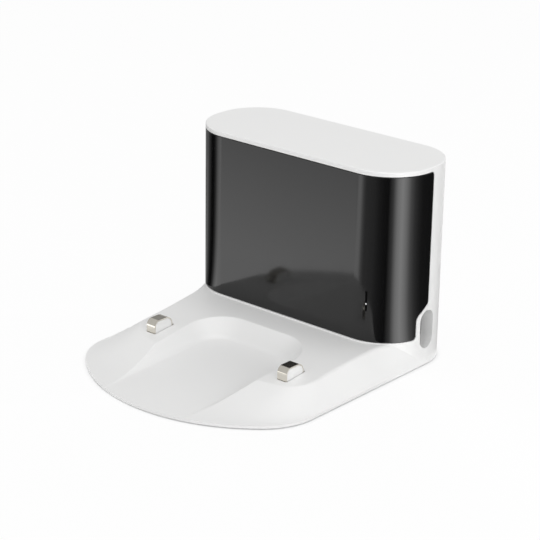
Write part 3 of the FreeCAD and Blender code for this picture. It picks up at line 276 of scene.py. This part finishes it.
def drawn_metal(name, colour, gloss, along):
    """Metal with fine lines along one axis: a noise that is stretched that way, and dull patches."""
    material, tree, shader = new_finish(name)
    stretch = [1.0, 1.0, 1.0]
    stretch[along] = 1.0 / LINE_STRETCH
    lines = grain(tree, place(tree, tuple(stretch)), LINE_WIDTH)
    patch = grain(tree, place(tree), PATCH_SIZE)
    duller = tuple(PATCH_SHADE * part for part in colour)
    fill(tree, shader, Base_Color=blend(tree, patch, duller, colour), Metallic=1.0,
         Roughness=spread(tree, lines, gloss - LINE_GLOSS, gloss + LINE_GLOSS))
    press(tree, shader, lines, LINE_DEPTH, 0.4)
    return material


METALS = {
    "contact_nickel": ((0.80, 0.765, 0.69), 0.08, Y, ("contact_left", "contact_right")),
    "strip_brass": ((0.76, 0.58, 0.27), 0.28, Y, ("contact_terminal_left", "contact_terminal_right")),
    "sink_sheet": ((0.74, 0.75, 0.76), 0.35, Z, ("heat_sink",)),
    "pin_nickel": ((0.78, 0.76, 0.72), 0.18, Z, ("inlet_pins",)),
}
for name, (colour, gloss, along, members) in METALS.items():
    coat_with(drawn_metal(name, colour, gloss, along), *members)
print("metal finishes:", len(METALS))

# %% [markdown]
# ## Dark plastics, rubber and resin
#
# Everything else inside and underneath is plastic, rubber, resin or tape. Each could have a recipe of its
# own, but they differ little at this size. One recipe serves them: a colour that drifts between two shades,
# a gloss with a fine grain, and a bump.

# %% Other finishes
SHADE_GRAINS = 12
PLAIN_GLOSS = 0.06


def plain_finish(name, dark, light, gloss, size, depth):
    """A non-metal whose colour drifts between two shades, with a grain of one size as bump."""
    material, tree, shader = new_finish(name)
    vector = place(tree)
    fine = grain(tree, vector, size, 3.0)
    drift = grain(tree, vector, SHADE_GRAINS * size)
    fill(tree, shader, Base_Color=blend(tree, drift, dark, light),
         Roughness=spread(tree, fine, gloss - PLAIN_GLOSS, gloss + PLAIN_GLOSS))
    press(tree, shader, fine, depth, 0.4)
    return material


FINISHES = {
    "foot_rubber": ((0.10, 0.10, 0.105), (0.16, 0.16, 0.165), 0.8, 0.3 * MM, 0.03 * MM,
                    ("foot_front_left", "foot_front_right", "foot_rear_left", "foot_rear_right")),
    "black_plastic": ((0.022, 0.022, 0.024), (0.034, 0.034, 0.036), 0.5, 0.25 * MM, 0.012 * MM,
                      ("contact_carrier_left", "contact_carrier_right", "rectifier", "mains_inlet")),
    "lead_black": ((0.02, 0.02, 0.021), (0.03, 0.03, 0.032), 0.45, 0.4 * MM, 0.01 * MM,
                   ("contact_lead_left",)),
    "lead_red": ((0.42, 0.02, 0.02), (0.5, 0.03, 0.03), 0.45, 0.4 * MM, 0.01 * MM,
                 ("contact_lead_right",)),
    "tape_yellow": ((0.62, 0.46, 0.09), (0.72, 0.56, 0.13), 0.35, 0.8 * MM, 0.02 * MM,
                    ("transformer",)),
    "sleeve_black": ((0.018, 0.018, 0.022), (0.03, 0.03, 0.036), 0.3, 1.2 * MM, 0.01 * MM,
                     ("bulk_capacitor", "output_capacitor")),
    "fuse_ceramic": ((0.70, 0.67, 0.60), (0.78, 0.75, 0.68), 0.4, 0.5 * MM, 0.01 * MM,
                     ("mains_fuse",)),
    "natural_nylon": ((0.70, 0.69, 0.64), (0.77, 0.76, 0.72), 0.45, 0.4 * MM, 0.01 * MM,
                      ("lead_header",)),
    "emitter_resin": ((0.08, 0.045, 0.12), (0.12, 0.07, 0.16), 0.08, 2 * MM, 0.002 * MM,
                      ("beacon_emitter_left", "beacon_emitter_centre", "beacon_emitter_right")),
    "led_resin": ((0.86, 0.86, 0.80), (0.92, 0.92, 0.87), 0.25, 0.4 * MM, 0.004 * MM,
                  ("status_led",)),
    "ribbon_grey": ((0.48, 0.48, 0.49), (0.58, 0.58, 0.59), 0.4, 0.5 * MM, 0.01 * MM,
                    ("board_link",)),
}
for name, (dark, light, gloss, size, depth, members) in FINISHES.items():
    coat_with(plain_finish(name, dark, light, gloss, size, depth), *members)
print("other finishes:", len(FINISHES))

# %% [markdown]
# ## The boards
#
# Both boards are glass cloth under a green mask, and copper tracks stand up a little below it. Real tracks
# would have to be drawn. A pattern of square cells whose borders are raised gives the look of them, because
# the boards are only seen when the dock is opened.

# %% Boards
CELL_SIZE = 7 * MM
TRACK_INSIDE = 0.06
TRACK_OUTSIDE = 0.09
TRACK_GREEN = (0.05, 0.24, 0.10)
MASK_GREEN = (0.025, 0.13, 0.06)

mask, tree, shader = new_finish("solder_mask")
cells = add_node(tree, "ShaderNodeTexVoronoi", {"feature": "DISTANCE_TO_EDGE", "distance": "MANHATTAN"},
                 Vector=place(tree), Scale=1.0 / CELL_SIZE)
track = ramp(tree, cells.outputs["Distance"], TRACK_INSIDE, TRACK_OUTSIDE, 0.0, 1.0)
fill(tree, shader, Base_Color=blend(tree, track, TRACK_GREEN, MASK_GREEN), Roughness=0.3)
press(tree, shader, track, 0.03 * MM, 0.4)
coat_with(mask, "power_board", "beacon_board")
print("board finish:", mask.name)

# %% [markdown]
# ## The status light
#
# A thin bar of dark clear resin carries the light of a diode to the face of the window. Only a dot of it
# is lit. A small glowing disc could be laid on the bar. Here the dot is a soft ball of emission around the
# diode's height, worked out from the distance to a point on the face, so the bar needs no second piece.

# %% Status light
DOT_HEIGHT = 3.4 * MM
DOT_RADIUS = 0.28 * MM
DOT_FADE = 1.6

guide_low, guide_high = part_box("light_guide")
dot = Vector(((guide_low[X] + guide_high[X]) / 2, guide_low[Y], guide_low[Z] + DOT_HEIGHT))
guide, tree, shader = new_finish("guide_resin")
source = add_node(tree, "ShaderNodeTexCoord")
away = add_node(tree, "ShaderNodeVectorMath", {"operation": "DISTANCE"})
put(tree, away.inputs[0], source.outputs["Object"])
put(tree, away.inputs[1], dot)
glow = ramp(tree, away.outputs["Value"], DOT_RADIUS, DOT_FADE * DOT_RADIUS, 1.0, 0.0)
fill(tree, shader, Base_Color=(0.002, 0.002, 0.002, 1.0), Roughness=0.5, Specular_IOR_Level=0.04,
     Emission_Color=(1.0, 1.0, 1.0, 1.0), Emission_Strength=glow)
coat_with(guide, "light_guide")
print("lit dot in mm:", [round(part / MM, 1) for part in dot])

# %% [markdown]
# ## Grids that become pieces
#
# Screws, springs and wire are all grids of points: one parameter runs along an outline or a path, and the
# other goes round it. Blender has a Screw modifier and bevelled curves for that. With the grid in numpy the
# same points can also be pushed about by a formula, which is how the cross and the thread are cut.

# %% Grids


def grid_faces(rows, columns):
    """Quads of a grid that is closed round its columns: each corner is row times columns plus column."""
    row, column = np.meshgrid(np.arange(rows - 1), np.arange(columns), indexing="ij")
    here = row * columns + column
    beside = row * columns + (column + 1) % columns
    return np.stack([here, beside, beside + columns, here + columns], axis=-1).reshape(-1, 4)


def closed_grid(points):
    """Points and faces of a grid of rows by columns whose first and last rows become one point each."""
    rows, columns = points.shape[:2]
    middle = points[1:-1].reshape(-1, 3)
    ends = np.stack([points[0].mean(axis=0), points[-1].mean(axis=0)])
    quads = grid_faces(rows - 2, columns)
    around = np.arange(columns)
    ahead = (around + 1) % columns
    last_row = (rows - 3) * columns
    start = np.stack([np.full(columns, len(middle)), ahead, around], axis=1)
    stop = np.stack([np.full(columns, len(middle) + 1), last_row + around, last_row + ahead], axis=1)
    return np.concatenate([middle, ends]), quads.tolist() + start.tolist() + stop.tolist()


def new_piece(name, parts, body, finish, stands_for):
    """One object from several pairs of points and faces, riding on a body in place of a CAD node. The
    corner numbers of each pair are raised by the number of points before it."""
    points = np.concatenate([part_points for part_points, _ in parts])
    faces = []
    start = 0
    for part_points, part_faces in parts:
        faces += [[corner + start for corner in face] for face in part_faces]
        start += len(part_points)
    mesh = bpy.data.meshes.new(name)
    mesh.from_pydata(points.tolist(), [], faces)
    mesh.polygons.foreach_set("use_smooth", np.ones(len(faces), dtype=bool))
    mesh.update()
    piece = bpy.data.objects.new(name, mesh)
    bpy.context.scene.collection.objects.link(piece)
    mesh.materials.append(finish)
    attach(piece, body)
    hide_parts(stands_for)
    print(name, "faces:", len(faces))
    return piece


print("quads of 3 rows by 8 columns:", len(grid_faces(3, 8)))

# %% [markdown]
# ## The shape of a screw
#
# The plate is held by countersunk screws and the boards by pan heads. All have a cross recess and a thread
# for plastic. They could be joined from a cone, a rod and a helix, but one grid does it: over the head the
# points sink by the depth of the cross, and along the shank the radius follows the thread, which is
# a zigzag of the height that also turns with the angle.

# %% Screw shape
SCREW_COLUMNS = 72
FACE_ROWS = 40
FACE_SHARE = 0.94
RIM_SHARE = 0.98
UNDER_SHARE = 0.97
RIM_TOP = 0.04 * MM
RIM_SIDE = 0.14 * MM
UNDER_ROUND = 0.1 * MM
SHANK_RADIUS = 1.4 * MM
SHANK_GAP = 0.02 * MM
CROSS_HALF_WIDTH = 0.27 * MM
CROSS_REACH = 1.45 * MM
CROSS_DEPTH = 0.95 * MM
CROSS_EDGE = 0.1 * MM
CROSS_RISE = 0.45
THREAD_PITCH = 1.0 * MM
THREAD_ROWS = 12
THREAD_DEPTH = 0.32 * MM
TIP_LENGTH = 1.3 * MM
TIP_POWER = 0.8


def cross_bar(across, along):
    """One bar of the cross, from 0 to 1: steep at its sides and ends, and shallower towards the ends."""
    inside = np.clip((CROSS_HALF_WIDTH - np.abs(across)) / CROSS_EDGE + 0.5, 0.0, 1.0)
    before_end = np.clip((CROSS_REACH - np.abs(along)) / CROSS_EDGE + 0.5, 0.0, 1.0)
    return inside * before_end * (1.0 - CROSS_RISE * np.abs(along) / CROSS_REACH)


def screw_outline(head_radius, head_height, length, crown):
    """Rows of radius and height from the middle of the face over the rim to the tip, the number of rows on
    the face, and the number on the shank. The face is a parabola that drops by crown to its edge."""
    face_radius = np.linspace(0.0, FACE_SHARE * head_radius, FACE_ROWS)
    face = np.stack([face_radius, crown * (face_radius / head_radius) ** 2], axis=1)
    rim = np.array([(RIM_SHARE * head_radius, crown + RIM_TOP), (head_radius, crown + RIM_SIDE)])
    if crown > 0.0:
        under = np.array([(head_radius, head_height - UNDER_ROUND),
                          (UNDER_SHARE * head_radius, head_height)])
        rim = np.concatenate([rim, under])
    run = np.arange(head_height + SHANK_GAP, length, THREAD_PITCH / THREAD_ROWS)
    shank = np.stack([np.full(len(run), SHANK_RADIUS), run], axis=1)
    tip = np.array([(0.0, length)])
    return np.concatenate([face, rim, shank, tip]), len(face), len(run)


def screw_grid(head_radius, head_height, length, crown):
    """A screw along +Z with its head face at z = 0: the outline turned round the axis. The face sinks by the
    deeper of two bars at right angles. The shank's radius loses up to the thread's depth by a zigzag of
    z / pitch - angle / full turn, and shrinks to nothing over the tip."""
    outline, face_rows, shank_rows = screw_outline(head_radius, head_height, length, crown)
    angle = np.linspace(0.0, 2 * np.pi, SCREW_COLUMNS, endpoint=False)
    radius = np.repeat(outline[:, :1], SCREW_COLUMNS, axis=1)
    height = np.repeat(outline[:, 1:], SCREW_COLUMNS, axis=1)
    shank = slice(-shank_rows - 1, -1)
    phase = height[shank] / THREAD_PITCH - angle / (2 * np.pi)
    zigzag = np.abs(2.0 * (phase % 1.0) - 1.0)
    shrink = np.clip((length - height[shank]) / TIP_LENGTH, 0.0, 1.0) ** TIP_POWER
    radius[shank] = (SHANK_RADIUS - THREAD_DEPTH * zigzag) * shrink
    x = radius * np.cos(angle)
    y = radius * np.sin(angle)
    face_x = x[:face_rows]
    face_y = y[:face_rows]
    height[:face_rows] += CROSS_DEPTH * np.maximum(cross_bar(face_x, face_y), cross_bar(face_y, face_x))
    return np.stack([x, y, height], axis=-1)


print("thread turns in 6 mm:", 6 * MM / THREAD_PITCH)

# %% [markdown]
# ## Screws in place
#
# Each node of screws in the frame holds four, one in each quarter. Their places could be typed in a second
# time. They are read from the node's own points instead, so that the new screws stay where the solids are:
# the points are sorted into quarters, and each quarter's box gives a middle, a length and a head.

# %% Screws
SCREW_KINDS = {
    "plate_screws": {"rows_along": Y, "axis": Z, "way": 1, "head_height": 1.5 * MM, "crown": 0.0},
    "board_screws": {"rows_along": Y, "axis": Z, "way": -1, "head_height": 1.6 * MM, "crown": 0.35 * MM},
    "beacon_screws": {"rows_along": Z, "axis": Y, "way": 1, "head_height": 1.6 * MM, "crown": 0.35 * MM},
}
zinc = drawn_metal("screw_zinc", (0.56, 0.56, 0.57), 0.32, X)


def quarter_boxes(name, rows_along):
    """The boxes of a node's four screws: its points split at x = 0 and half-way along another axis."""
    vertices = nodes[name].data.vertices
    flat = np.empty(3 * len(vertices))
    vertices.foreach_get("co", flat)
    points = flat.reshape(-1, 3)
    half_way = (points[:, rows_along].min() + points[:, rows_along].max()) / 2
    quarter = 2 * (points[:, X] > 0) + (points[:, rows_along] > half_way)
    groups = [points[quarter == index] for index in range(4)]
    return [(group.min(axis=0), group.max(axis=0)) for group in groups]


def stood_in(grid, low, high, axis, way):
    """A screw's grid moved into a box: its own z runs along the axis, forwards or back, from the face of the
    box where its head is. Its y takes the third axis, with the sign that keeps the thread right-handed."""
    third = Y + Z - axis
    hand = 1 if axis == Z and way > 0 else -1
    middle = (low + high) / 2
    x, y, z = np.moveaxis(grid, -1, 0)
    placed = np.empty_like(grid)
    placed[..., X] = middle[X] + x
    placed[..., axis] = (low[axis] if way > 0 else high[axis]) + way * z
    placed[..., third] = middle[third] + hand * y
    return placed


for node, kind in SCREW_KINDS.items():
    axis = kind["axis"]
    screws = []
    for low, high in quarter_boxes(node, kind["rows_along"]):
        head_radius = (high[X] - low[X]) / 2
        grid = screw_grid(head_radius, kind["head_height"], high[axis] - low[axis], kind["crown"])
        screws.append(closed_grid(stood_in(grid, low, high, axis, kind["way"])))
    new_piece("cross_" + node, screws, "dock", zinc, node)

# %% [markdown]
# ## Springs under the contacts
#
# Each contact stands on a coil of drawn wire, which the robot presses down by about three millimetres.
# The wire is a tube along a helix whose end turns lie flat, as they do on a spring that is cut and closed.
# A curve with a bevel gives the same tube. As a grid of points it is one closed mesh, which stands on the
# dock.

# %% Contact springs
SPRING_TURNS = 8
SPRING_ROWS = 36
SPRING_WIRE = 0.25 * MM
TUBE_COLUMNS = 12
spring_wire = drawn_metal("spring_wire", (0.62, 0.62, 0.63), 0.25, Z)


def tube_grid(line, out, radius):
    """A tube round a line: at each point a circle square to the line's direction, which starts on the side
    that the out vectors give. Both ends close in a point."""
    ahead = np.gradient(line, axis=0)
    ahead /= np.linalg.norm(ahead, axis=1, keepdims=True)
    side = np.cross(ahead, out)
    side /= np.linalg.norm(side, axis=1, keepdims=True)
    up = np.cross(side, ahead)
    angle = np.linspace(0.0, 2 * np.pi, TUBE_COLUMNS, endpoint=False)
    circle = np.cos(angle)[:, None] * up[:, None, :] + np.sin(angle)[:, None] * side[:, None, :]
    rings = line[:, None, :] + radius * circle
    first = np.repeat(line[:1], TUBE_COLUMNS, axis=0)[None]
    last = np.repeat(line[-1:], TUBE_COLUMNS, axis=0)[None]
    return np.concatenate([first, rings, last])


def spring_line(low, high):
    """The helix of a spring that fills a box, and its outward directions: the height climbs by one wire in
    the first and the last turn, and evenly in between."""
    turn = np.linspace(0.0, SPRING_TURNS, SPRING_TURNS * SPRING_ROWS)
    wire = 2 * SPRING_WIRE
    open_height = high[Z] - low[Z] - 3 * wire
    flat_ends = np.clip(turn, 0.0, 1.0) + np.clip(turn - SPRING_TURNS + 1, 0.0, 1.0)
    climb = np.clip((turn - 1) / (SPRING_TURNS - 2), 0.0, 1.0)
    radius = (high[X] - low[X]) / 2 - SPRING_WIRE
    none = np.zeros(len(turn))
    out = np.stack([np.cos(2 * np.pi * turn), np.sin(2 * np.pi * turn), none], axis=1)
    rise = np.stack([none, none, wire * flat_ends + open_height * climb], axis=1)
    base = np.array([(low[X] + high[X]) / 2, (low[Y] + high[Y]) / 2, low[Z] + SPRING_WIRE])
    return base + radius * out + rise, out


for side_name in ("left", "right"):
    node = "contact_spring_" + side_name
    low, high = (np.array(corner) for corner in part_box(node))
    line, out = spring_line(low, high)
    spring = new_piece("coil_spring_" + side_name, [closed_grid(tube_grid(line, out, SPRING_WIRE))],
                       "dock", spring_wire, node)
    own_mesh(spring)

# %% [markdown]
# ## The line choke
#
# A choke is a ferrite ring with two windings of enamelled wire, one on each half. A torus with a striped
# finish would pass for it from a distance. Real wire casts its own shadows, so the ring is a torus, and
# each winding is a tube along a line that goes round the ring's section many times while it creeps along
# the ring.

# %% Line choke
CHOKE_TURNS = 15
CHOKE_SPAN = 150.0
CHOKE_STARTS = (15.0, 195.0)
RING_ROWS = 72
RING_COLUMNS = 24
WIRE_ROWS = 40
WIRE_RADIUS = 0.34 * MM


def ring_mesh(middle, ring_radius, section_radius):
    """A torus: a circle of the section's radius carried round a circle of the ring's radius. The corner
    numbers wrap at the end, which closes it both ways."""
    along, around = np.meshgrid(np.linspace(0, 2 * np.pi, RING_ROWS, endpoint=False),
                                np.linspace(0, 2 * np.pi, RING_COLUMNS, endpoint=False), indexing="ij")
    out = ring_radius + section_radius * np.cos(around)
    points = np.stack([out * np.cos(along), out * np.sin(along), -section_radius * np.sin(around)], axis=-1)
    faces = grid_faces(RING_ROWS + 1, RING_COLUMNS) % (RING_ROWS * RING_COLUMNS)
    return points.reshape(-1, 3) + middle, faces.tolist()


def winding_line(middle, ring_radius, section_radius, start):
    """The wire's middle line and its outward directions: the angle round the section grows by a full turn
    for each step along the ring."""
    share = np.linspace(0.0, 1.0, CHOKE_TURNS * WIRE_ROWS)
    along = np.radians(start + CHOKE_SPAN * share)
    around = 2 * np.pi * CHOKE_TURNS * share - np.pi / 2
    spine = np.stack([np.cos(along), np.sin(along), np.zeros(len(along))], axis=1)
    up = np.array([0.0, 0.0, 1.0])
    out = np.cos(around)[:, None] * spine + np.sin(around)[:, None] * up
    return middle + ring_radius * spine + section_radius * out, out


choke_low, choke_high = (np.array(corner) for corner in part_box("line_choke"))
choke_middle = (choke_low + choke_high) / 2
choke_round = (choke_high[Z] - choke_low[Z]) / 2
choke_radius = (choke_high[X] - choke_low[X]) / 2 - choke_round
core_round = choke_round - 2 * WIRE_RADIUS
ferrite = plain_finish("core_ferrite", (0.035, 0.035, 0.038), (0.06, 0.06, 0.064), 0.6, 0.3 * MM, 0.02 * MM)
enamel = drawn_metal("enamelled_wire", (0.62, 0.25, 0.09), 0.22, Z)
new_piece("choke_core", [ring_mesh(choke_middle, choke_radius, core_round)],
          "dock", ferrite, "line_choke")
windings = []
for start in CHOKE_STARTS:
    line, out = winding_line(choke_middle, choke_radius, core_round + WIRE_RADIUS, start)
    windings.append(closed_grid(tube_grid(line, out, WIRE_RADIUS)))
new_piece("choke_windings", windings, "dock", enamel, "line_choke")

# %% [markdown]
# ## The floor
#
# The dock stands on a plain white sweep, so white that only a thin line of shadow shows where it touches.
# A lit white sheet would have a broad shadow. Here the eye and mirrors see a sheet that glows, and the glow
# gives way to the real sheet in a gap of a few millimetres, which Ambient Occlusion finds. Further out
# the glow is weaker, but only for mirrors: the window gets darker towards its top. The window is a weak
# mirror, so that the base shows faintly in it, and what it should show clearly glows more by one gain.

# %% Floor
FLOOR_HALF = 6.0
FLOOR_GLOW = 0.93
CONTACT_SHADOW = 2.5 * MM
MIRROR_GAIN = 1.8
FADE_FAR = -0.26
FADE_NEAR = -0.06
FADE_SHARE = 0.58


def flat_sheet(name, corners):
    """A four-cornered sheet from its corner points."""
    mesh = bpy.data.meshes.new(name)
    mesh.from_pydata(corners, [], [(0, 1, 2, 3)])
    mesh.update()
    sheet = bpy.data.objects.new(name, mesh)
    bpy.context.scene.collection.objects.link(sheet)
    return sheet


def calc(tree, operation, first, second):
    """The result of a Math node with two inputs."""
    node = add_node(tree, "ShaderNodeMath", {"operation": operation})
    put(tree, node.inputs[0], first)
    put(tree, node.inputs[1], second)
    return node.outputs[0]


sweep, tree, shader = new_finish("white_sweep")
fill(tree, shader, Base_Color=(0.9, 0.9, 0.9, 1.0), Roughness=0.9)
ray = add_node(tree, "ShaderNodeLightPath")
seen = calc(tree, "MAXIMUM", ray.outputs["Is Camera Ray"], ray.outputs["Is Glossy Ray"])
seen = calc(tree, "MAXIMUM", seen, ray.outputs["Is Transmission Ray"])
open_air = add_node(tree, "ShaderNodeAmbientOcclusion", {"samples": 8}, Distance=CONTACT_SHADOW)
clear = calc(tree, "MULTIPLY", open_air.outputs["AO"], FLOOR_GLOW)
spot = add_node(tree, "ShaderNodeSeparateXYZ", Vector=place(tree))
fade = ramp(tree, spot.outputs["Y"], FADE_FAR, FADE_NEAR, FADE_SHARE * MIRROR_GAIN, MIRROR_GAIN)
strength = ramp(tree, ray.outputs["Is Camera Ray"], 0.0, 1.0, fade, 1.0)
glow_light = add_node(tree, "ShaderNodeEmission", Strength=strength)
mix = add_node(tree, "ShaderNodeMixShader")
put(tree, mix.inputs[0], calc(tree, "MULTIPLY", seen, clear))
put(tree, mix.inputs[1], shader.outputs[0])
put(tree, mix.inputs[2], glow_light.outputs[0])
fill(tree, tree.nodes["Material Output"], Surface=mix.outputs[0])
floor = flat_sheet("floor", [
    (-FLOOR_HALF, -FLOOR_HALF, 0.0), (FLOOR_HALF, -FLOOR_HALF, 0.0),
    (FLOOR_HALF, FLOOR_HALF, 0.0), (-FLOOR_HALF, FLOOR_HALF, 0.0)])
floor.data.materials.append(sweep)
print("floor in metres:", 2 * FLOOR_HALF)

# %% [markdown]
# ## Room and lamps
#
# A white room lights the dock evenly, and two large soft lamps give the flanks and the ramps their shape,
# one straight above and one to the right. Their strengths were worked out from the brightness of the white
# faces in the photograph: each face adds up the room and the lamps in its own shares.

# %% Room and lamps
ROOM_GLOW = 0.58
LAMP_SIZE = 1.0
LAMP_AIM = Vector((0.0, 0.0, 0.03))
LAMPS = {
    "top_lamp": (Vector((0.0, 0.0, 1.8)), 10.4),
    "side_lamp": (Vector((1.58, -0.74, 0.47)), 10.6),
}

room = bpy.data.worlds.new("white_room")
bpy.context.scene.world = room
room.use_nodes = True
fill(room.node_tree, room.node_tree.nodes["Background"], Color=(1.0, 1.0, 1.0, 1.0), Strength=ROOM_GLOW)
for name, (position, power) in LAMPS.items():
    light = bpy.data.lights.new(name, "AREA")
    light.shape = "SQUARE"
    light.size = LAMP_SIZE
    light.energy = power
    lamp = bpy.data.objects.new(name, light)
    facing = (LAMP_AIM - position).to_track_quat("-Z", "Y")
    lamp.matrix_world = Matrix.Translation(position) @ facing.to_matrix().to_4x4()
    bpy.context.scene.collection.objects.link(lamp)
bpy.context.scene.view_settings.view_transform = "Standard"
print("lamps:", list(LAMPS))

# %% [markdown]
# ## Boards for the mirror
#
# A polished black part shows little but its surroundings. A photographer puts white board and black velvet
# round it. Here two fans of board lie on the floor, one spreading from each corner of the tower, and only
# mirrors see them. Along its edge a board runs from black to white and on to a bright strip, so each corner
# of the window gets a dark band and the right one a light streak. A fan is used because a round corner
# spreads the room out in just that way.

# %% Boards for the mirror
FAN_STEPS = 181
FAN_NEAR = 30 * MM
FAN_FAR = 900 * MM
FAN_HEIGHT = 0.2 * MM
CORNER_X = 41.4 * MM
CORNER_Y = 48.5 * MM
LEFT_FAN = [(-250, 0.1), (-203, 0.12), (-187, 0.22), (-179, 0.13), (-171, 0.07), (-163, 0.01), (-154, 0.01),
            (-147, 0.14), (-139, 0.65), (-133, 1.0)]
RIGHT_FAN = [(-119, 1.0), (-114, 1.0), (-107, 0.42), (-101, 0.22), (-91, 0.2), (-81, 0.17), (-71, 0.09),
             (-61, 0.045), (-51, 0.02), (-41, 0.38), (-31, 1.65), (-21, 2.2), (-11, 1.5), (-1, 0.6),
             (9, 0.24), (19, 0.11), (29, 0.045), (60, 0.015), (95, 0.015)]


def for_mirrors_only(thing):
    """Hide an object of the stage from everything but mirrors."""
    thing.visible_camera = False
    thing.visible_diffuse = False
    thing.visible_shadow = False
    thing.visible_transmission = False


def fan_board(name, apex, bearings, glows):
    """A flat fan round an apex: points at angle b and distance r, with a glow that is a function of b."""
    bearing = np.linspace(bearings[0], bearings[-1], FAN_STEPS)
    level = np.interp(bearing, bearings, glows)
    angle = np.radians(bearing)
    rays = np.stack([np.cos(angle), np.sin(angle)], axis=1)
    flat = np.concatenate([apex + FAN_NEAR * rays, apex + FAN_FAR * rays])
    points = np.column_stack([flat, np.full(len(flat), FAN_HEIGHT)])
    first = np.arange(FAN_STEPS - 1)
    faces = np.stack([first, first + 1, first + 1 + FAN_STEPS, first + FAN_STEPS], axis=1)
    mesh = bpy.data.meshes.new(name)
    mesh.from_pydata(points.tolist(), [], faces.tolist())
    layer = mesh.attributes.new("glow", "FLOAT", "POINT")
    layer.data.foreach_set("value", np.tile(level, 2).astype(np.float32))
    mesh.update()
    board = bpy.data.objects.new(name, mesh)
    bpy.context.scene.collection.objects.link(board)
    return board


board_paint, tree, shader = new_finish("board_paint")
level = add_node(tree, "ShaderNodeAttribute", {"attribute_name": "glow"})
glow_light = add_node(tree, "ShaderNodeEmission", Strength=level.outputs["Fac"])
fill(tree, tree.nodes["Material Output"], Surface=glow_light.outputs[0])
for name, side, table in (("left_board", -1, LEFT_FAN), ("right_board", 1, RIGHT_FAN)):
    bearings, glows = np.array(table, dtype=float).T
    board = fan_board(name, np.array([side * CORNER_X, CORNER_Y]), bearings, MIRROR_GAIN * glows)
    board.data.materials.append(board_paint)
    for_mirrors_only(board)
    print(name, "bearings:", bearings[0], "to", bearings[-1])

# %% [markdown]
# ## A dark card
#
# The left end of the window also mirrors what stands behind the dock on that side. The fan lies flat and
# can't darken that, so a card stands there, covered in velvet that gives back a little light.

# %% Dark card
CARD_FRONT = (-175 * MM, 50 * MM)
CARD_REAR = (-90 * MM, 125 * MM)
CARD_FOOT = 45 * MM
CARD_TOP = 105 * MM
VELVET_GLOW = 0.16

velvet, tree, shader = new_finish("velvet")
fill(tree, shader, Base_Color=(0.0, 0.0, 0.0, 1.0), Specular_IOR_Level=0.0,
     Emission_Color=(1.0, 1.0, 1.0, 1.0), Emission_Strength=VELVET_GLOW * MIRROR_GAIN)
card = flat_sheet("left_card", [
    (*CARD_FRONT, CARD_FOOT), (*CARD_REAR, CARD_FOOT), (*CARD_REAR, CARD_TOP), (*CARD_FRONT, CARD_TOP)])
card.data.materials.append(velvet)
for_mirrors_only(card)
print("card height in mm:", round((CARD_TOP - CARD_FOOT) / MM))

# %% [markdown]
# ## The end
#
# The dressed part has to keep the size of the solids.

# %% Finish
print("finished")
